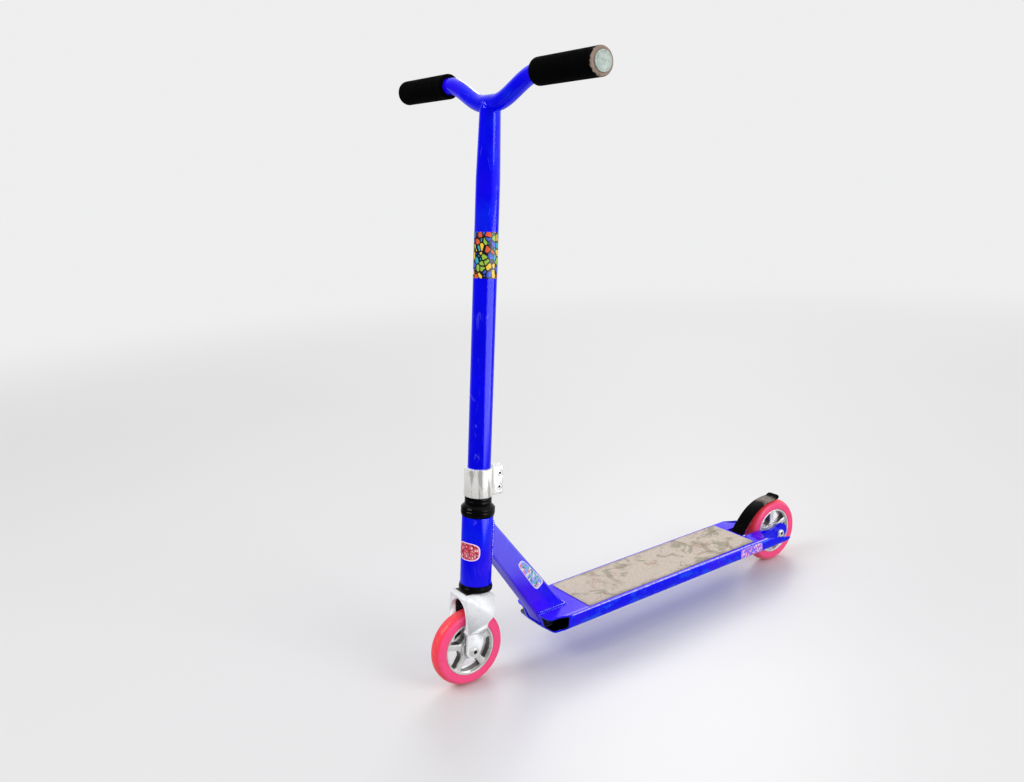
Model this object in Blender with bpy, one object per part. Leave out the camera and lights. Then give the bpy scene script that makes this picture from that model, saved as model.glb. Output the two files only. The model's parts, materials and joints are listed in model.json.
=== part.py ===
"""Stunt scooter with a one-piece welded frame, straight fork, T-shaped bar and flex brake.

Frame of the model: X runs across the scooter, with +X at the rider's left hand. Y runs
backwards and Z upwards. The origin is on the floor, midway between the two axles.
Lengths are in metres and angles in radians.

The steered pieces and the pieces in the head tube are drawn along the steering axis: their
own Z is the distance up that axis from the level of the front axle, and their own Y points
backwards from it.
"""

import math

import bmesh
import bpy
from mathutils import Vector

# Driving dimensions of the whole scooter
WHEEL_DIAMETER = 0.1100
WHEELBASE = 0.6360
HEAD_ANGLE = math.radians(84.0)
FORK_OFFSET = 0.0120
FIT = 0.0003
CUT_PAST = 0.0100

# Wheels
TYRE_WIDTH = 0.0240
TYRE_SHOULDER_DROP = 0.0060
TYRE_CROWN_POWER = 2.5
CORE_DIAMETER = 0.0770
CORE_RIM_WIDTH = 0.0212
CORE_RIM_WALL = 0.0026
CORE_WEB_WIDTH = 0.0150
CORE_HUB_DIAMETER = 0.0276
CORE_HUB_FLARE = 0.0012
WINDOW_MARGIN = 0.0008
SPOKES = 5
SPOKE_WIDTH = 0.0095
WINDOW_CORNER = 0.0025
BEARING_DIAMETER = 0.0220
BEARING_WIDTH = 0.0070
BEARING_BORE = 0.0083
BEARING_SPACER_WALL = 0.0018
AXLE_DIAMETER = 0.0079

# Deck extrusion
DECK_WIDTH = 0.1022
DECK_TOP = 0.0716
DECK_THICKNESS = 0.0227
PLATE = 0.0030
SIDE_WALL = 0.0030
SLOT_SIDE_CUT = 0.0005
RIB_INNER_FACE = 0.0190
RIB_WALL = 0.0050
DECK_TOP_CORNER = 0.0020
DECK_LOWER_CORNER = 0.0075
CHAMBER_CORNER = 0.0025
NOSE_AHEAD = 0.1120
NOSE_RAKE = 0.0090
NOSE_SIDE_LEAN = 0.0040
NOSE_SWEEP = 0.0028
NOSE_FRONT_INSET = 0.0108
NOSE_FRONT_CORNER = 0.0070
NOSE_SHOULDER_INSET = 0.0095
NOSE_SHOULDER_LENGTH = 0.0220
NOSE_SHOULDER_CORNER = 0.0120
NOSE_CORNER_LENGTH = 0.0415

# Deck tail, measured from the rear axle
TAIL_TIP_AHEAD = 0.0040
TAIL_SLOPE_LENGTH = 0.0620
TAIL_TIP_HEIGHT = 0.0030
TAIL_FLARE_LENGTH = 0.0430
TAIL_FLARE_INSET = 0.0008
TAIL_UNDERCUT_LENGTH = 0.0186
PLATE_END_AHEAD = 0.0510
PLATE_END_SKEW = 0.0160
DROPOUT_RADIUS = 0.0144
DROPOUT_BACK = 0.0040
DROPOUT_TOP_DROP = 0.0006
DROPOUT_SHOULDER_AHEAD = 0.0470
DROPOUT_WAIST_AHEAD = 0.0300
DROPOUT_WAIST_DROP = 0.0056
DROPOUT_ARC_START = math.radians(130.0)
DROPOUT_ARC_END = math.radians(-30.0)

# Grip tape
TAPE_THICKNESS = 0.0010
TAPE_MARGIN = 0.0054
TAPE_START = 0.0750
TAPE_END_MARGIN = 0.0060
TAPE_CORNER = 0.0030

# Neck between the deck and the head tube
NECK_WIDTH = 0.0320
NECK_WALL = 0.0035
NECK_BASE_LENGTH = 0.0520
NECK_FRONT_LEAN = math.radians(31.8)
NECK_REAR_LEAN = math.radians(35.7)
NECK_EDGE = 0.0030
NECK_FOOT_RAKE = 0.0081

# Head tube and headset, stacked along the steering axis
HEAD_TUBE_DIAMETER = 0.0438
HEAD_TUBE_WALL = 0.0033
HEAD_TUBE_LENGTH = 0.0982
CUP_DIAMETER = 0.0472
CUP_HEIGHT = 0.0087
CUP_FLOOR = 0.0010
CUP_SKIRT = 0.0100
CUP_SKIRT_WALL = 0.0020
HEAD_BEARING_DIAMETER = 0.0410
HEAD_BEARING_BORE = 0.0302
HEAD_BEARING_HEIGHT = 0.0070
RACE_FLANGE = 0.0014
RACE_HEIGHT = 0.0045
COVER_RIM = 0.0030
COVER_HEIGHT = 0.0076
SPACER_DIAMETER = 0.0374
SPACER_HEIGHT = 0.0104

# Fork
FORK_GAP = 0.0290
FORK_WIDTH = 0.0500
FORK_FRONT = 0.0280
FORK_REAR = 0.0195
FORK_SIDE_TAPER = 0.0040
TYRE_TO_ARCH = 0.0190
CROWN_THICKNESS = 0.0090
LEG_STEP_HEIGHT = 0.0266
LEG_LEDGE = 0.0030
LEG_FOOT_WALL = 0.0044
LEG_WAIST_HEIGHT = 0.0448
LEG_WAIST_REAR = 0.0054
LEG_END_RADIUS = 0.0110
LEG_END_ARC_START = math.radians(195.0)
LEG_END_ARC_END = math.radians(350.0)
LEG_SHOULDER = 0.0054
CROWN_REAR_CHAMFER = 0.0086
MOUTH_FLARE = 0.0070
MOUTH_DEPTH = 0.0070
MOUTH_RISE = 0.0240
FORK_EDGE = 0.0008
STEERER_LOWER_DIAMETER = 0.0286
STEERER_DIAMETER = 0.0254
STEERER_WALL = 0.0024
STEERER_SHOULDER = 0.0230
STEERER_IN_BAR = 0.0790

# Compression parts inside the bar
SHIM_CAP = 0.0030
PRELOAD_GAP = 0.0015
STAR_NUT_DEPTH = 0.0180
STAR_NUT_HEIGHT = 0.0080
STAR_NUT_FLANGE = 0.0016
COMPRESSION_BOLT_DIAMETER = 0.0060
COMPRESSION_BOLT_LENGTH = 0.0340
COMPRESSION_HEAD_DIAMETER = 0.0090

# Bar clamp
CLAMP_HEIGHT = 0.0399
CLAMP_DIAMETER = 0.0404
CLAMP_EAR_REACH = 0.0345
CLAMP_EAR_WIDTH = 0.0190
CLAMP_SLIT = 0.0025
CLAMP_BOLT_REACH = 0.0285
CLAMP_BOLT_SPACING = 0.0196
CLAMP_BOLT_DIAMETER = 0.0060
CLAMP_HEAD_DIAMETER = 0.0090
CLAMP_HEAD_HEIGHT = 0.0036
CLAMP_EDGE = 0.0008

# Bar
BAR_TUBE_DIAMETER = 0.0318
BAR_TUBE_WALL = 0.0014
BAR_NECKED_DIAMETER = 0.0275
BAR_TAPER_LENGTH = 0.0820
BAR_HEIGHT = 0.7659
BAR_RISE = 0.0289
BAR_BEND_START = 0.0120
BAR_BEND_END = 0.1000
BAR_HALF_WIDTH = 0.2175
CROSSBAR_DIAMETER = 0.0222
CROSSBAR_WALL = 0.0016
BAR_SLIT_WIDTH = 0.0030
BAR_SLIT_LENGTH = 0.0600

# Grips and bar ends
GRIP_LENGTH = 0.1164
GRIP_DIAMETER = 0.0332
GRIP_RIBS = 7
GRIP_GROOVE = 0.0008
GRIP_GROOVE_WIDTH = 0.0036
GRIP_END_ROUND = 0.0025
PLUG_DIAMETER = 0.0238
PLUG_FLANGE = 0.0022
PLUG_DOME = 0.0020
PLUG_INSERT = 0.0240
PLUG_DOME_DIAMETER = 0.0143

# Axle bolts and nuts
AXLE_HEAD_DIAMETER = 0.0132
AXLE_HEAD_HEIGHT = 0.0046
AXLE_NUT_WIDTH = 0.0130
AXLE_NUT_HEIGHT = 0.0055
THREAD_END = 0.0015
HEAD_CROWN_SHARE = 0.75
HEAD_SHOULDER_SHARE = 0.55
SOCKET_WIDTH_SHARE = 0.78
SOCKET_DEPTH_SHARE = 0.60
FORK_WASHER_DIAMETER = 0.0130

# Flex brake
BRAKE_WIDTH = 0.0250
BRAKE_THICKNESS = 0.0025
BRAKE_TYRE_GAP = 0.0024
BRAKE_ARC_RADIUS = 0.0850
BRAKE_LEAN = math.radians(45.0)
BRAKE_APEX_AHEAD = 0.0050
BRAKE_FLAT = 0.0100
BRAKE_LIP_ANGLE = math.radians(30.0)
BRAKE_LIP_LENGTH = 0.0075
BRAKE_LIP_BEND = 0.0060
BRAKE_SLOT_MARGIN = 0.0030
BRAKE_FOOT_LENGTH = 0.0320
BRAKE_FOOT_BEND = 0.0050
BRAKE_BLOCK_HEIGHT = 0.0110
BRAKE_BOLT_SPACING = 0.0150
BRAKE_BOLT_DIAMETER = 0.0060
BRAKE_BOLT_HEAD_DIAMETER = 0.0105
BRAKE_BOLT_HEAD_HEIGHT = 0.0030

# Facets
TYRE_SIDES = 32
RING_SIDES = 20
TUBE_SIDES = 16
BOLT_SIDES = 8
ARC_STEPS = 3
CROWN_STEPS = 6

# Places that follow from the sizes above
WHEEL_RADIUS = WHEEL_DIAMETER / 2
FRONT_AXLE = Vector((0.0, -WHEELBASE / 2, WHEEL_RADIUS))
REAR_AXLE = Vector((0.0, WHEELBASE / 2, WHEEL_RADIUS))
LEAN = math.pi / 2 - HEAD_ANGLE
AXIS_UP = Vector((0.0, math.sin(LEAN), math.cos(LEAN)))
AXIS_BACK = Vector((0.0, math.cos(LEAN), -math.sin(LEAN)))
AXIS_FOOT = FRONT_AXLE + FORK_OFFSET * AXIS_BACK
DECK_BOTTOM = DECK_TOP - DECK_THICKNESS
DECK_NOSE = FRONT_AXLE.y + NOSE_AHEAD
DECK_TAIL = REAR_AXLE.y + DROPOUT_BACK + DROPOUT_RADIUS
CHAMBER_TOP = DECK_TOP - PLATE
CHAMBER_BOTTOM = DECK_BOTTOM + PLATE
RIB_OUTER_FACE = RIB_INNER_FACE + RIB_WALL
SIDE_INNER_FACE = DECK_WIDTH / 2 - SIDE_WALL
ARCH_TOP = WHEEL_RADIUS + TYRE_TO_ARCH
CROWN_TOP = ARCH_TOP + CROWN_THICKNESS
LOWER_CUP_BASE = CROWN_TOP + RACE_FLANGE
LOWER_CUP_TOP = LOWER_CUP_BASE + CUP_HEIGHT
HEAD_TUBE_BASE = LOWER_CUP_TOP + FIT
HEAD_TUBE_TOP = HEAD_TUBE_BASE + HEAD_TUBE_LENGTH
UPPER_CUP_BASE = HEAD_TUBE_TOP + FIT
UPPER_CUP_TOP = UPPER_CUP_BASE + CUP_HEIGHT
COVER_BASE = UPPER_CUP_TOP + FIT
COVER_TOP = COVER_BASE + COVER_HEIGHT
SPACER_BASE = COVER_TOP + FIT
SPACER_TOP = SPACER_BASE + SPACER_HEIGHT
CLAMP_BASE = SPACER_TOP + FIT
CLAMP_TOP = CLAMP_BASE + CLAMP_HEIGHT
STEERER_TOP = CLAMP_BASE + STEERER_IN_BAR
BRAKE_APEX_Y = REAR_AXLE.y - BRAKE_APEX_AHEAD
BRAKE_APEX_Z = REAR_AXLE.z + WHEEL_RADIUS + BRAKE_TYRE_GAP + BRAKE_THICKNESS
BRAKE_FOOT_Z = CHAMBER_BOTTOM + FIT

PAINT_BLUE = (0.010, 0.012, 0.800)


def clear_scene():
    """Remove every object of the open file."""
    for thing in list(bpy.data.objects):
        bpy.data.objects.remove(thing, do_unlink=True)


def finish(name, colour, roughness, metallic=0.0):
    """Return a Principled material."""
    material = bpy.data.materials.new(name)
    material.use_nodes = True
    shader = material.node_tree.nodes["Principled BSDF"]
    shader.inputs["Base Color"].default_value = (*colour, 1.0)
    shader.inputs["Roughness"].default_value = roughness
    shader.inputs["Metallic"].default_value = metallic
    return material


def add_empty(name, location, lean=0.0):
    """Add an empty that carries pieces; lean tips its Z axis backwards."""
    empty = bpy.data.objects.new(name, None)
    empty.location = location
    empty.rotation_euler = (-lean, 0.0, 0.0)
    bpy.context.scene.collection.objects.link(empty)
    return empty


def add_object(name, shape, material=None, parent=None):
    """Turn a bmesh into a scene object whose flat faces stay flat and round ones smooth."""
    bmesh.ops.recalc_face_normals(shape, faces=shape.faces)
    if shape.calc_volume(signed=True) < 0.0:
        bmesh.ops.reverse_faces(shape, faces=shape.faces)
    mesh = bpy.data.meshes.new(name)
    shape.to_mesh(mesh)
    shape.free()
    mesh.shade_smooth()
    mesh.set_sharp_from_angle(angle=math.radians(35.0))
    thing = bpy.data.objects.new(name, mesh)
    thing.parent = parent
    bpy.context.scene.collection.objects.link(thing)
    if material is not None:
        mesh.materials.append(material)
    return thing


def prism(outline, low, high, axis):
    """Extrude a closed outline from low to high along X, Y or Z.

    The outline's points are (y, z) for X, (x, z) for Y and (x, y) for Z.
    """
    place = {
        "X": lambda a, b: (low, a, b),
        "Y": lambda a, b: (a, low, b),
        "Z": lambda a, b: (a, b, low),
    }[axis]
    travel = Vector([high - low if letter == axis else 0.0 for letter in "XYZ"])
    shape = bmesh.new()
    face = shape.faces.new([shape.verts.new(place(a, b)) for a, b in outline])
    grown = bmesh.ops.extrude_face_region(shape, geom=[face])
    moved = [part for part in grown["geom"] if isinstance(part, bmesh.types.BMVert)]
    bmesh.ops.translate(shape, verts=moved, vec=travel)
    return shape


def loft(lower, upper):
    """Join two closed rings of as many points into a closed solid."""
    shape = bmesh.new()
    rings = [[shape.verts.new(point) for point in ring] for ring in (lower, upper)]
    for index in range(len(lower)):
        after = (index + 1) % len(lower)
        shape.faces.new((rings[0][index], rings[0][after], rings[1][after], rings[1][index]))
    for ring in rings:
        shape.faces.new(ring)
    return shape


def turned(profile, sides=RING_SIDES, axis="Z"):
    """Spin a profile of (radius, distance along the axis) into a closed solid."""
    shape = bmesh.new()
    corners = [shape.verts.new((radius, 0.0, along)) for radius, along in profile]
    edges = [shape.edges.new(pair) for pair in zip(corners, corners[1:])]
    if all(radius > 0.0 for radius, along in profile):
        edges.append(shape.edges.new((corners[-1], corners[0])))
    bmesh.ops.spin(shape, geom=corners + edges, axis=(0, 0, 1), cent=(0, 0, 0),
                   angle=2 * math.pi, steps=sides, use_merge=True)
    bmesh.ops.remove_doubles(shape, verts=shape.verts, dist=1e-6)
    if axis == "X":
        for corner in shape.verts:
            corner.co = Vector((corner.co.z, corner.co.x, corner.co.y))
    return shape


def ring(inner, outer, low, high, sides=RING_SIDES, axis="Z"):
    """Return a plain ring between two radii and two heights."""
    profile = [(inner, low), (outer, low), (outer, high), (inner, high)]
    return turned(profile, sides, axis)


def rod(radius, low, high, sides=TUBE_SIDES, axis="Z"):
    """Return a plain round rod."""
    return turned([(0.0, low), (radius, low), (radius, high), (0.0, high)], sides, axis)


def swept_tube(path, radius, sides):
    """Carry a circle along a path in the XZ plane and close its ends."""
    shape = bmesh.new()
    rings = []
    for index, centre in enumerate(path):
        before = path[max(index - 1, 0)]
        after = path[min(index + 1, len(path) - 1)]
        run = (after - before).normalized()
        across = Vector((-run.z, 0.0, run.x))
        circle = []
        for step in range(sides):
            turn = 2 * math.pi * step / sides
            offset = radius * (math.cos(turn) * across + math.sin(turn) * Vector((0, 1, 0)))
            circle.append(shape.verts.new(centre + offset))
        rings.append(circle)
    for first, second in zip(rings, rings[1:]):
        for step in range(sides):
            after = (step + 1) % sides
            shape.faces.new((first[step], first[after], second[after], second[step]))
    shape.faces.new(rings[0])
    shape.faces.new(rings[-1])
    return shape


def rounded(outline, radii, steps=ARC_STEPS):
    """Round an outline's corners; radii is one radius or one for each corner."""
    count = len(outline)
    if not isinstance(radii, (list, tuple)):
        radii = [radii] * count
    smooth = []
    for index, radius in enumerate(radii):
        corner = Vector(outline[index])
        to_last = Vector(outline[index - 1]) - corner
        to_next = Vector(outline[(index + 1) % count]) - corner
        room = 0.49 * min(to_last.length, to_next.length)
        half = to_last.angle(to_next) / 2
        reach = min(radius / math.tan(half), room) if radius > 0.0 else 0.0
        if reach < 1e-6:
            smooth.append(tuple(corner))
            continue
        start = corner + reach * to_last.normalized()
        middle = (to_last.normalized() + to_next.normalized()).normalized()
        centre = corner + middle * reach / math.cos(half)
        spoke = start - centre
        sweep = math.pi - 2 * half
        way = 1.0 if to_last.x * to_next.y - to_last.y * to_next.x < 0.0 else -1.0
        for step in range(steps + 1):
            turn = way * sweep * step / steps
            smooth.append((centre.x + spoke.x * math.cos(turn) - spoke.y * math.sin(turn),
                           centre.y + spoke.x * math.sin(turn) + spoke.y * math.cos(turn)))
    return smooth


def rectangle(half_width, low, high):
    """Return the corners of a rectangle centred on the first axis."""
    return [(-half_width, low), (half_width, low), (half_width, high), (-half_width, high)]


def mirrored(outline):
    """Return an outline with its mirror image across the first axis joined on."""
    return outline + [(-a, b) for a, b in reversed(outline)]


def cut(thing, shape, operation="DIFFERENCE"):
    """Cut a shape out of an object, or join it on."""
    bmesh.ops.triangulate(shape, faces=shape.faces)
    tool = add_object(f"{thing.name}_{operation.lower()}_{len(thing.modifiers)}", shape)
    tool.parent = thing.parent
    tool.location = thing.location
    tool.display_type = "WIRE"
    tool.hide_render = True
    modifier = thing.modifiers.new(tool.name, "BOOLEAN")
    modifier.operation = operation
    modifier.solver = "EXACT"
    modifier.object = tool


def bevel(thing, width, angle=40.0):
    """Break an object's sharp edges."""
    modifier = thing.modifiers.new("edges", "BEVEL")
    modifier.width = width
    modifier.segments = 1
    modifier.limit_method = "ANGLE"
    modifier.angle_limit = math.radians(angle)
    modifier.harden_normals = False


def hexagon(width, centre=(0.0, 0.0)):
    """Return a hexagon's corners from its width across flats."""
    radius = width / math.sqrt(3.0)
    turns = [math.pi * (step + 0.5) / 3 for step in range(6)]
    return [(centre[0] + radius * math.cos(turn), centre[1] + radius * math.sin(turn))
            for turn in turns]


def socket_bolt(name, material, head, shaft, length, axis, way, seat, parent, location):
    """Add a bolt with a round head and a hexagon socket.

    head is (diameter, height). The head sits on the plane at seat along the axis and points
    the given way, 1 or -1; the shaft runs length the other way.
    """
    head_radius = head[0] / 2
    crown = HEAD_CROWN_SHARE * head_radius
    profile = [
        (0.0, seat + way * head[1]),
        (crown, seat + way * head[1]),
        (head_radius, seat + way * head[1] * HEAD_SHOULDER_SHARE),
        (head_radius, seat),
        (shaft / 2, seat),
        (shaft / 2, seat - way * length),
        (0.0, seat - way * length),
    ]
    bolt = add_object(name, turned(profile, BOLT_SIDES, axis), material, parent)
    bolt.location = location
    key = SOCKET_WIDTH_SHARE * head_radius
    depth = SOCKET_DEPTH_SHARE * head[1]
    ends = sorted((seat + way * (head[1] - depth), seat + way * (head[1] + depth)))
    cut(bolt, prism(hexagon(key), ends[0], ends[1], axis))
    return bolt


def hex_nut(name, material, width, bore, low, high, parent, location):
    """Add a hexagon nut round the X axis."""
    nut = add_object(name, prism(hexagon(width), low, high, "X"), material, parent)
    nut.location = location
    cut(nut, rod(bore / 2, low - PLATE, high + PLATE, BOLT_SIDES, "X"))
    return nut


# Frame: deck, neck and head tube

def deck_section():
    """Return the extrusion's outer outline in X and Z."""
    half = DECK_WIDTH / 2
    outline = [(-half, DECK_BOTTOM), (half, DECK_BOTTOM), (half, DECK_TOP), (-half, DECK_TOP)]
    radii = [DECK_LOWER_CORNER, DECK_LOWER_CORNER, DECK_TOP_CORNER, DECK_TOP_CORNER]
    return rounded(outline, radii)


def chamber(inner, outer):
    """Return one hollow of the extrusion as an outline in X and Z."""
    low_corner = max(DECK_LOWER_CORNER - SIDE_WALL, CHAMBER_CORNER)
    outline = [(inner, CHAMBER_BOTTOM), (outer, CHAMBER_BOTTOM),
               (outer, CHAMBER_TOP), (inner, CHAMBER_TOP)]
    return rounded(outline, [CHAMBER_CORNER, low_corner, CHAMBER_CORNER, CHAMBER_CORNER], 2)


def nose_plan(rake, lean):
    """Return what is cut away ahead of the deck's nose, in X and Y.

    The front edge is set back by rake, and the sides are wider and longer by lean.
    """
    half = DECK_WIDTH / 2
    reach = half + SIDE_WALL
    front = DECK_NOSE + rake
    corner_y = DECK_NOSE + NOSE_CORNER_LENGTH - lean
    side = [
        (NECK_WIDTH / 2, front),
        (half - NOSE_FRONT_INSET + lean, front + NOSE_SWEEP),
        (half - NOSE_SHOULDER_INSET + lean, DECK_NOSE + NOSE_SHOULDER_LENGTH),
        (half, corner_y),
        (reach, corner_y + SIDE_WALL),
        (reach, DECK_NOSE - 2 * CUT_PAST),
    ]
    radii = [0.0, NOSE_FRONT_CORNER, NOSE_SHOULDER_CORNER, 0.0, 0.0, 0.0]
    return rounded(mirrored(side), radii + radii[::-1])


def make_deck(paint):
    """Add the extruded deck with its machined nose, wheel slot and dropouts."""
    blank = prism(deck_section(), DECK_NOSE - PLATE, DECK_TAIL, "Y")
    deck = add_object("deck", blank, paint)
    past_front = DECK_NOSE - CUT_PAST
    past_tail = DECK_TAIL + PLATE
    centre = rectangle(RIB_INNER_FACE - SLOT_SIDE_CUT, CHAMBER_BOTTOM, CHAMBER_TOP)
    cut(deck, prism(rounded(centre, CHAMBER_CORNER, 2), past_front, past_tail, "Y"))
    for side in (1, -1):
        inner = RIB_OUTER_FACE + SLOT_SIDE_CUT
        hollow = [(side * x, z) for x, z in chamber(inner, SIDE_INNER_FACE)]
        cut(deck, prism(hollow, past_front, past_tail, "Y"))
    cut_nose(deck)
    cut_neck_seat(deck)
    cut_wheel_slot(deck)
    cut_tail(deck, past_tail)
    for step in (-0.5, 0.5):
        place = brake_bolt_y() + step * BRAKE_BOLT_SPACING
        hole = rod(BRAKE_BOLT_DIAMETER / 2 + FIT, DECK_BOTTOM - PLATE, CHAMBER_BOTTOM + PLATE,
                   BOLT_SIDES)
        bmesh.ops.translate(hole, verts=hole.verts, vec=(0.0, place, 0.0))
        cut(deck, hole)
    return deck


def cut_nose(deck):
    """Rake the nose: the bottom plate starts further back than the top one, and is wider."""
    lower = [(x, y, DECK_BOTTOM - PLATE) for x, y in nose_plan(NOSE_RAKE, NOSE_SIDE_LEAN)]
    upper = [(x, y, DECK_TOP + PLATE) for x, y in nose_plan(0.0, 0.0)]
    cut(deck, loft(lower, upper))


def cut_neck_seat(deck):
    """Open the top plate where the neck stands in the middle chamber."""
    seat = rectangle(NECK_WIDTH / 2 + FIT, DECK_NOSE - CUT_PAST,
                     DECK_NOSE + NECK_BASE_LENGTH + FIT)
    cut(deck, prism(seat, CHAMBER_BOTTOM + PLATE, DECK_TOP + PLATE, "Z"))


def brake_slot_front():
    """Return where the top plate's slot starts, just ahead of the brake band."""
    start_y = BRAKE_APEX_Y - BRAKE_ARC_RADIUS * math.sin(BRAKE_LEAN)
    start_z = BRAKE_APEX_Z - BRAKE_ARC_RADIUS * (1 - math.cos(BRAKE_LEAN))
    crossing = start_y - (start_z - DECK_TOP) / math.tan(BRAKE_LEAN)
    return crossing - BRAKE_SLOT_MARGIN


def cut_wheel_slot(deck):
    """Open both plates between the ribs for the wheel and the brake band."""
    tail = DECK_TAIL + CUT_PAST
    lower_front = brake_foot_end() + BRAKE_SLOT_MARGIN
    rings = []
    for front, height in ((lower_front, DECK_BOTTOM - PLATE),
                          (brake_slot_front(), DECK_TOP + PLATE)):
        plan = rounded(rectangle(RIB_INNER_FACE, front, tail), CHAMBER_CORNER)
        rings.append([(x, y, height) for x, y in plan])
    cut(deck, loft(*rings))


def cut_tail(deck, past_tail):
    """Shape the ribs into dropouts and the side walls into low guards beside the wheel."""
    plate_end = REAR_AXLE.y - PLATE_END_AHEAD
    low = DECK_BOTTOM - PLATE
    high = DECK_TOP + PLATE
    for side in (1, -1):
        wide = SIDE_INNER_FACE + SLOT_SIDE_CUT
        hollow = [
            (side * RIB_OUTER_FACE, plate_end),
            (side * wide, plate_end - PLATE_END_SKEW),
            (side * wide, past_tail),
            (side * RIB_OUTER_FACE, past_tail),
        ]
        cut(deck, prism(hollow, low, high, "Z"))
        guard = [(side * x, y) for x, y in guard_flare(past_tail)]
        cut(deck, prism(guard, low, high, "Z"))
        ends = sorted((side * (SIDE_INNER_FACE - SIDE_WALL / 2), side * DECK_WIDTH))
        cut(deck, prism(guard_profile(past_tail), ends[0], ends[1], "X"))
        cut(deck, prism(guard_underside(past_tail), ends[0], ends[1], "X"))
    ribs = (RIB_OUTER_FACE + SIDE_INNER_FACE) / 2
    cut(deck, prism(dropout_profile(past_tail), -ribs, ribs, "X"))
    hole = rod(AXLE_DIAMETER / 2 + FIT, -ribs, ribs, BOLT_SIDES, "X")
    bmesh.ops.translate(hole, verts=hole.verts, vec=REAR_AXLE)
    cut(deck, hole)


def guard_flare(past_tail):
    """Return the sliver that tapers a guard's outer face, in X and Y."""
    half = DECK_WIDTH / 2
    start = REAR_AXLE.y - TAIL_TIP_AHEAD - TAIL_FLARE_LENGTH
    slope = TAIL_FLARE_INSET / TAIL_FLARE_LENGTH
    return [
        (half, start),
        (half - slope * (past_tail - start), past_tail),
        (half + SIDE_WALL, past_tail),
        (half + SIDE_WALL, start),
    ]


def guard_profile(past_tail):
    """Return what is cut off above and behind a guard, in Y and Z."""
    tip = REAR_AXLE.y - TAIL_TIP_AHEAD
    shoulder = tip - TAIL_SLOPE_LENGTH
    tip_z = WHEEL_RADIUS + TAIL_TIP_HEIGHT
    return [
        (shoulder - SIDE_WALL, DECK_TOP + PLATE),
        (shoulder - SIDE_WALL, DECK_TOP),
        (shoulder, DECK_TOP),
        (tip - SIDE_WALL / 2, tip_z),
        (tip, tip_z - TAIL_TIP_HEIGHT),
        (tip, DECK_BOTTOM - PLATE),
        (past_tail, DECK_BOTTOM - PLATE),
        (past_tail, DECK_TOP + PLATE),
    ]


def guard_underside(past_tail):
    """Return what is cut off below a guard's tip, in Y and Z."""
    tip = REAR_AXLE.y - TAIL_TIP_AHEAD
    return [
        (tip - TAIL_UNDERCUT_LENGTH, DECK_BOTTOM),
        (tip + SIDE_WALL, WHEEL_RADIUS + TAIL_TIP_HEIGHT / 2),
        (past_tail, DECK_BOTTOM - PLATE),
        (tip - TAIL_UNDERCUT_LENGTH, DECK_BOTTOM - PLATE),
    ]


def dropout_profile(past_tail):
    """Return what is cut off round the ribs' ends, in Y and Z."""
    shoulder = REAR_AXLE.y - DROPOUT_SHOULDER_AHEAD
    waist = REAR_AXLE.y - DROPOUT_WAIST_AHEAD
    centre_y = REAR_AXLE.y + DROPOUT_BACK
    centre_z = DECK_TOP - DROPOUT_TOP_DROP - DROPOUT_RADIUS
    outline = [(shoulder, DECK_TOP + PLATE), (shoulder, DECK_TOP),
               (waist, DECK_TOP - DROPOUT_WAIST_DROP)]
    sweep = DROPOUT_ARC_END - DROPOUT_ARC_START
    steps = 3 * ARC_STEPS
    for step in range(steps + 1):
        turn = DROPOUT_ARC_START + sweep * step / steps
        outline.append((centre_y + DROPOUT_RADIUS * math.cos(turn),
                        centre_z + DROPOUT_RADIUS * math.sin(turn)))
    outline.append((outline[-1][0], DECK_BOTTOM - PLATE))
    outline.append((past_tail, DECK_BOTTOM - PLATE))
    outline.append((past_tail, DECK_TOP + PLATE))
    return outline


def make_neck(paint):
    """Add the hollow box neck, coped round the head tube and standing on the bottom plate."""
    neck = add_object("neck", prism(neck_profile(0.0), -NECK_WIDTH / 2, NECK_WIDTH / 2, "X"),
                      paint)
    bevel(neck, NECK_EDGE)
    inner = NECK_WIDTH / 2 - NECK_WALL
    cut(neck, prism(neck_profile(NECK_WALL), -inner, inner, "X"))
    cope = rod(HEAD_TUBE_DIAMETER / 2 + FIT, 0.0, HEAD_TUBE_TOP + HEAD_TUBE_LENGTH, TYRE_SIDES)
    for corner in cope.verts:
        corner.co = on_axis(corner.co)
    cut(neck, cope)
    return neck


def on_axis(point):
    """Turn a point drawn along the steering axis into the scooter's frame."""
    return AXIS_FOOT + point.x * Vector((1, 0, 0)) + point.y * AXIS_BACK + point.z * AXIS_UP


def neck_profile(wall):
    """Return the neck's side outline in Y and Z, drawn in by a wall's thickness."""
    top = HEAD_TUBE_TOP - CUP_SKIRT / 2
    base = CHAMBER_BOTTOM + FIT - (PLATE if wall > 0.0 else 0.0)
    front_foot = DECK_NOSE + wall / math.cos(NECK_FRONT_LEAN)
    rear_foot = DECK_NOSE + NECK_BASE_LENGTH - wall / math.cos(NECK_REAR_LEAN)
    axis_y = AXIS_FOOT.y + top * math.sin(LEAN) / math.cos(LEAN)
    front_top = DECK_TOP + (front_foot - axis_y) / math.tan(NECK_FRONT_LEAN)
    rear_top = DECK_TOP + (rear_foot - axis_y) / math.tan(NECK_REAR_LEAN)
    return [
        (axis_y, front_top),
        (front_foot, DECK_TOP),
        (front_foot + NECK_FOOT_RAKE, base),
        (rear_foot, base),
        (rear_foot, DECK_TOP),
        (axis_y, rear_top),
    ]


def make_head_tube(paint, axis):
    """Add the head tube."""
    outer = HEAD_TUBE_DIAMETER / 2
    tube = ring(outer - HEAD_TUBE_WALL, outer, HEAD_TUBE_BASE, HEAD_TUBE_TOP, TYRE_SIDES)
    return add_object("head_tube", tube, paint, axis)


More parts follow.
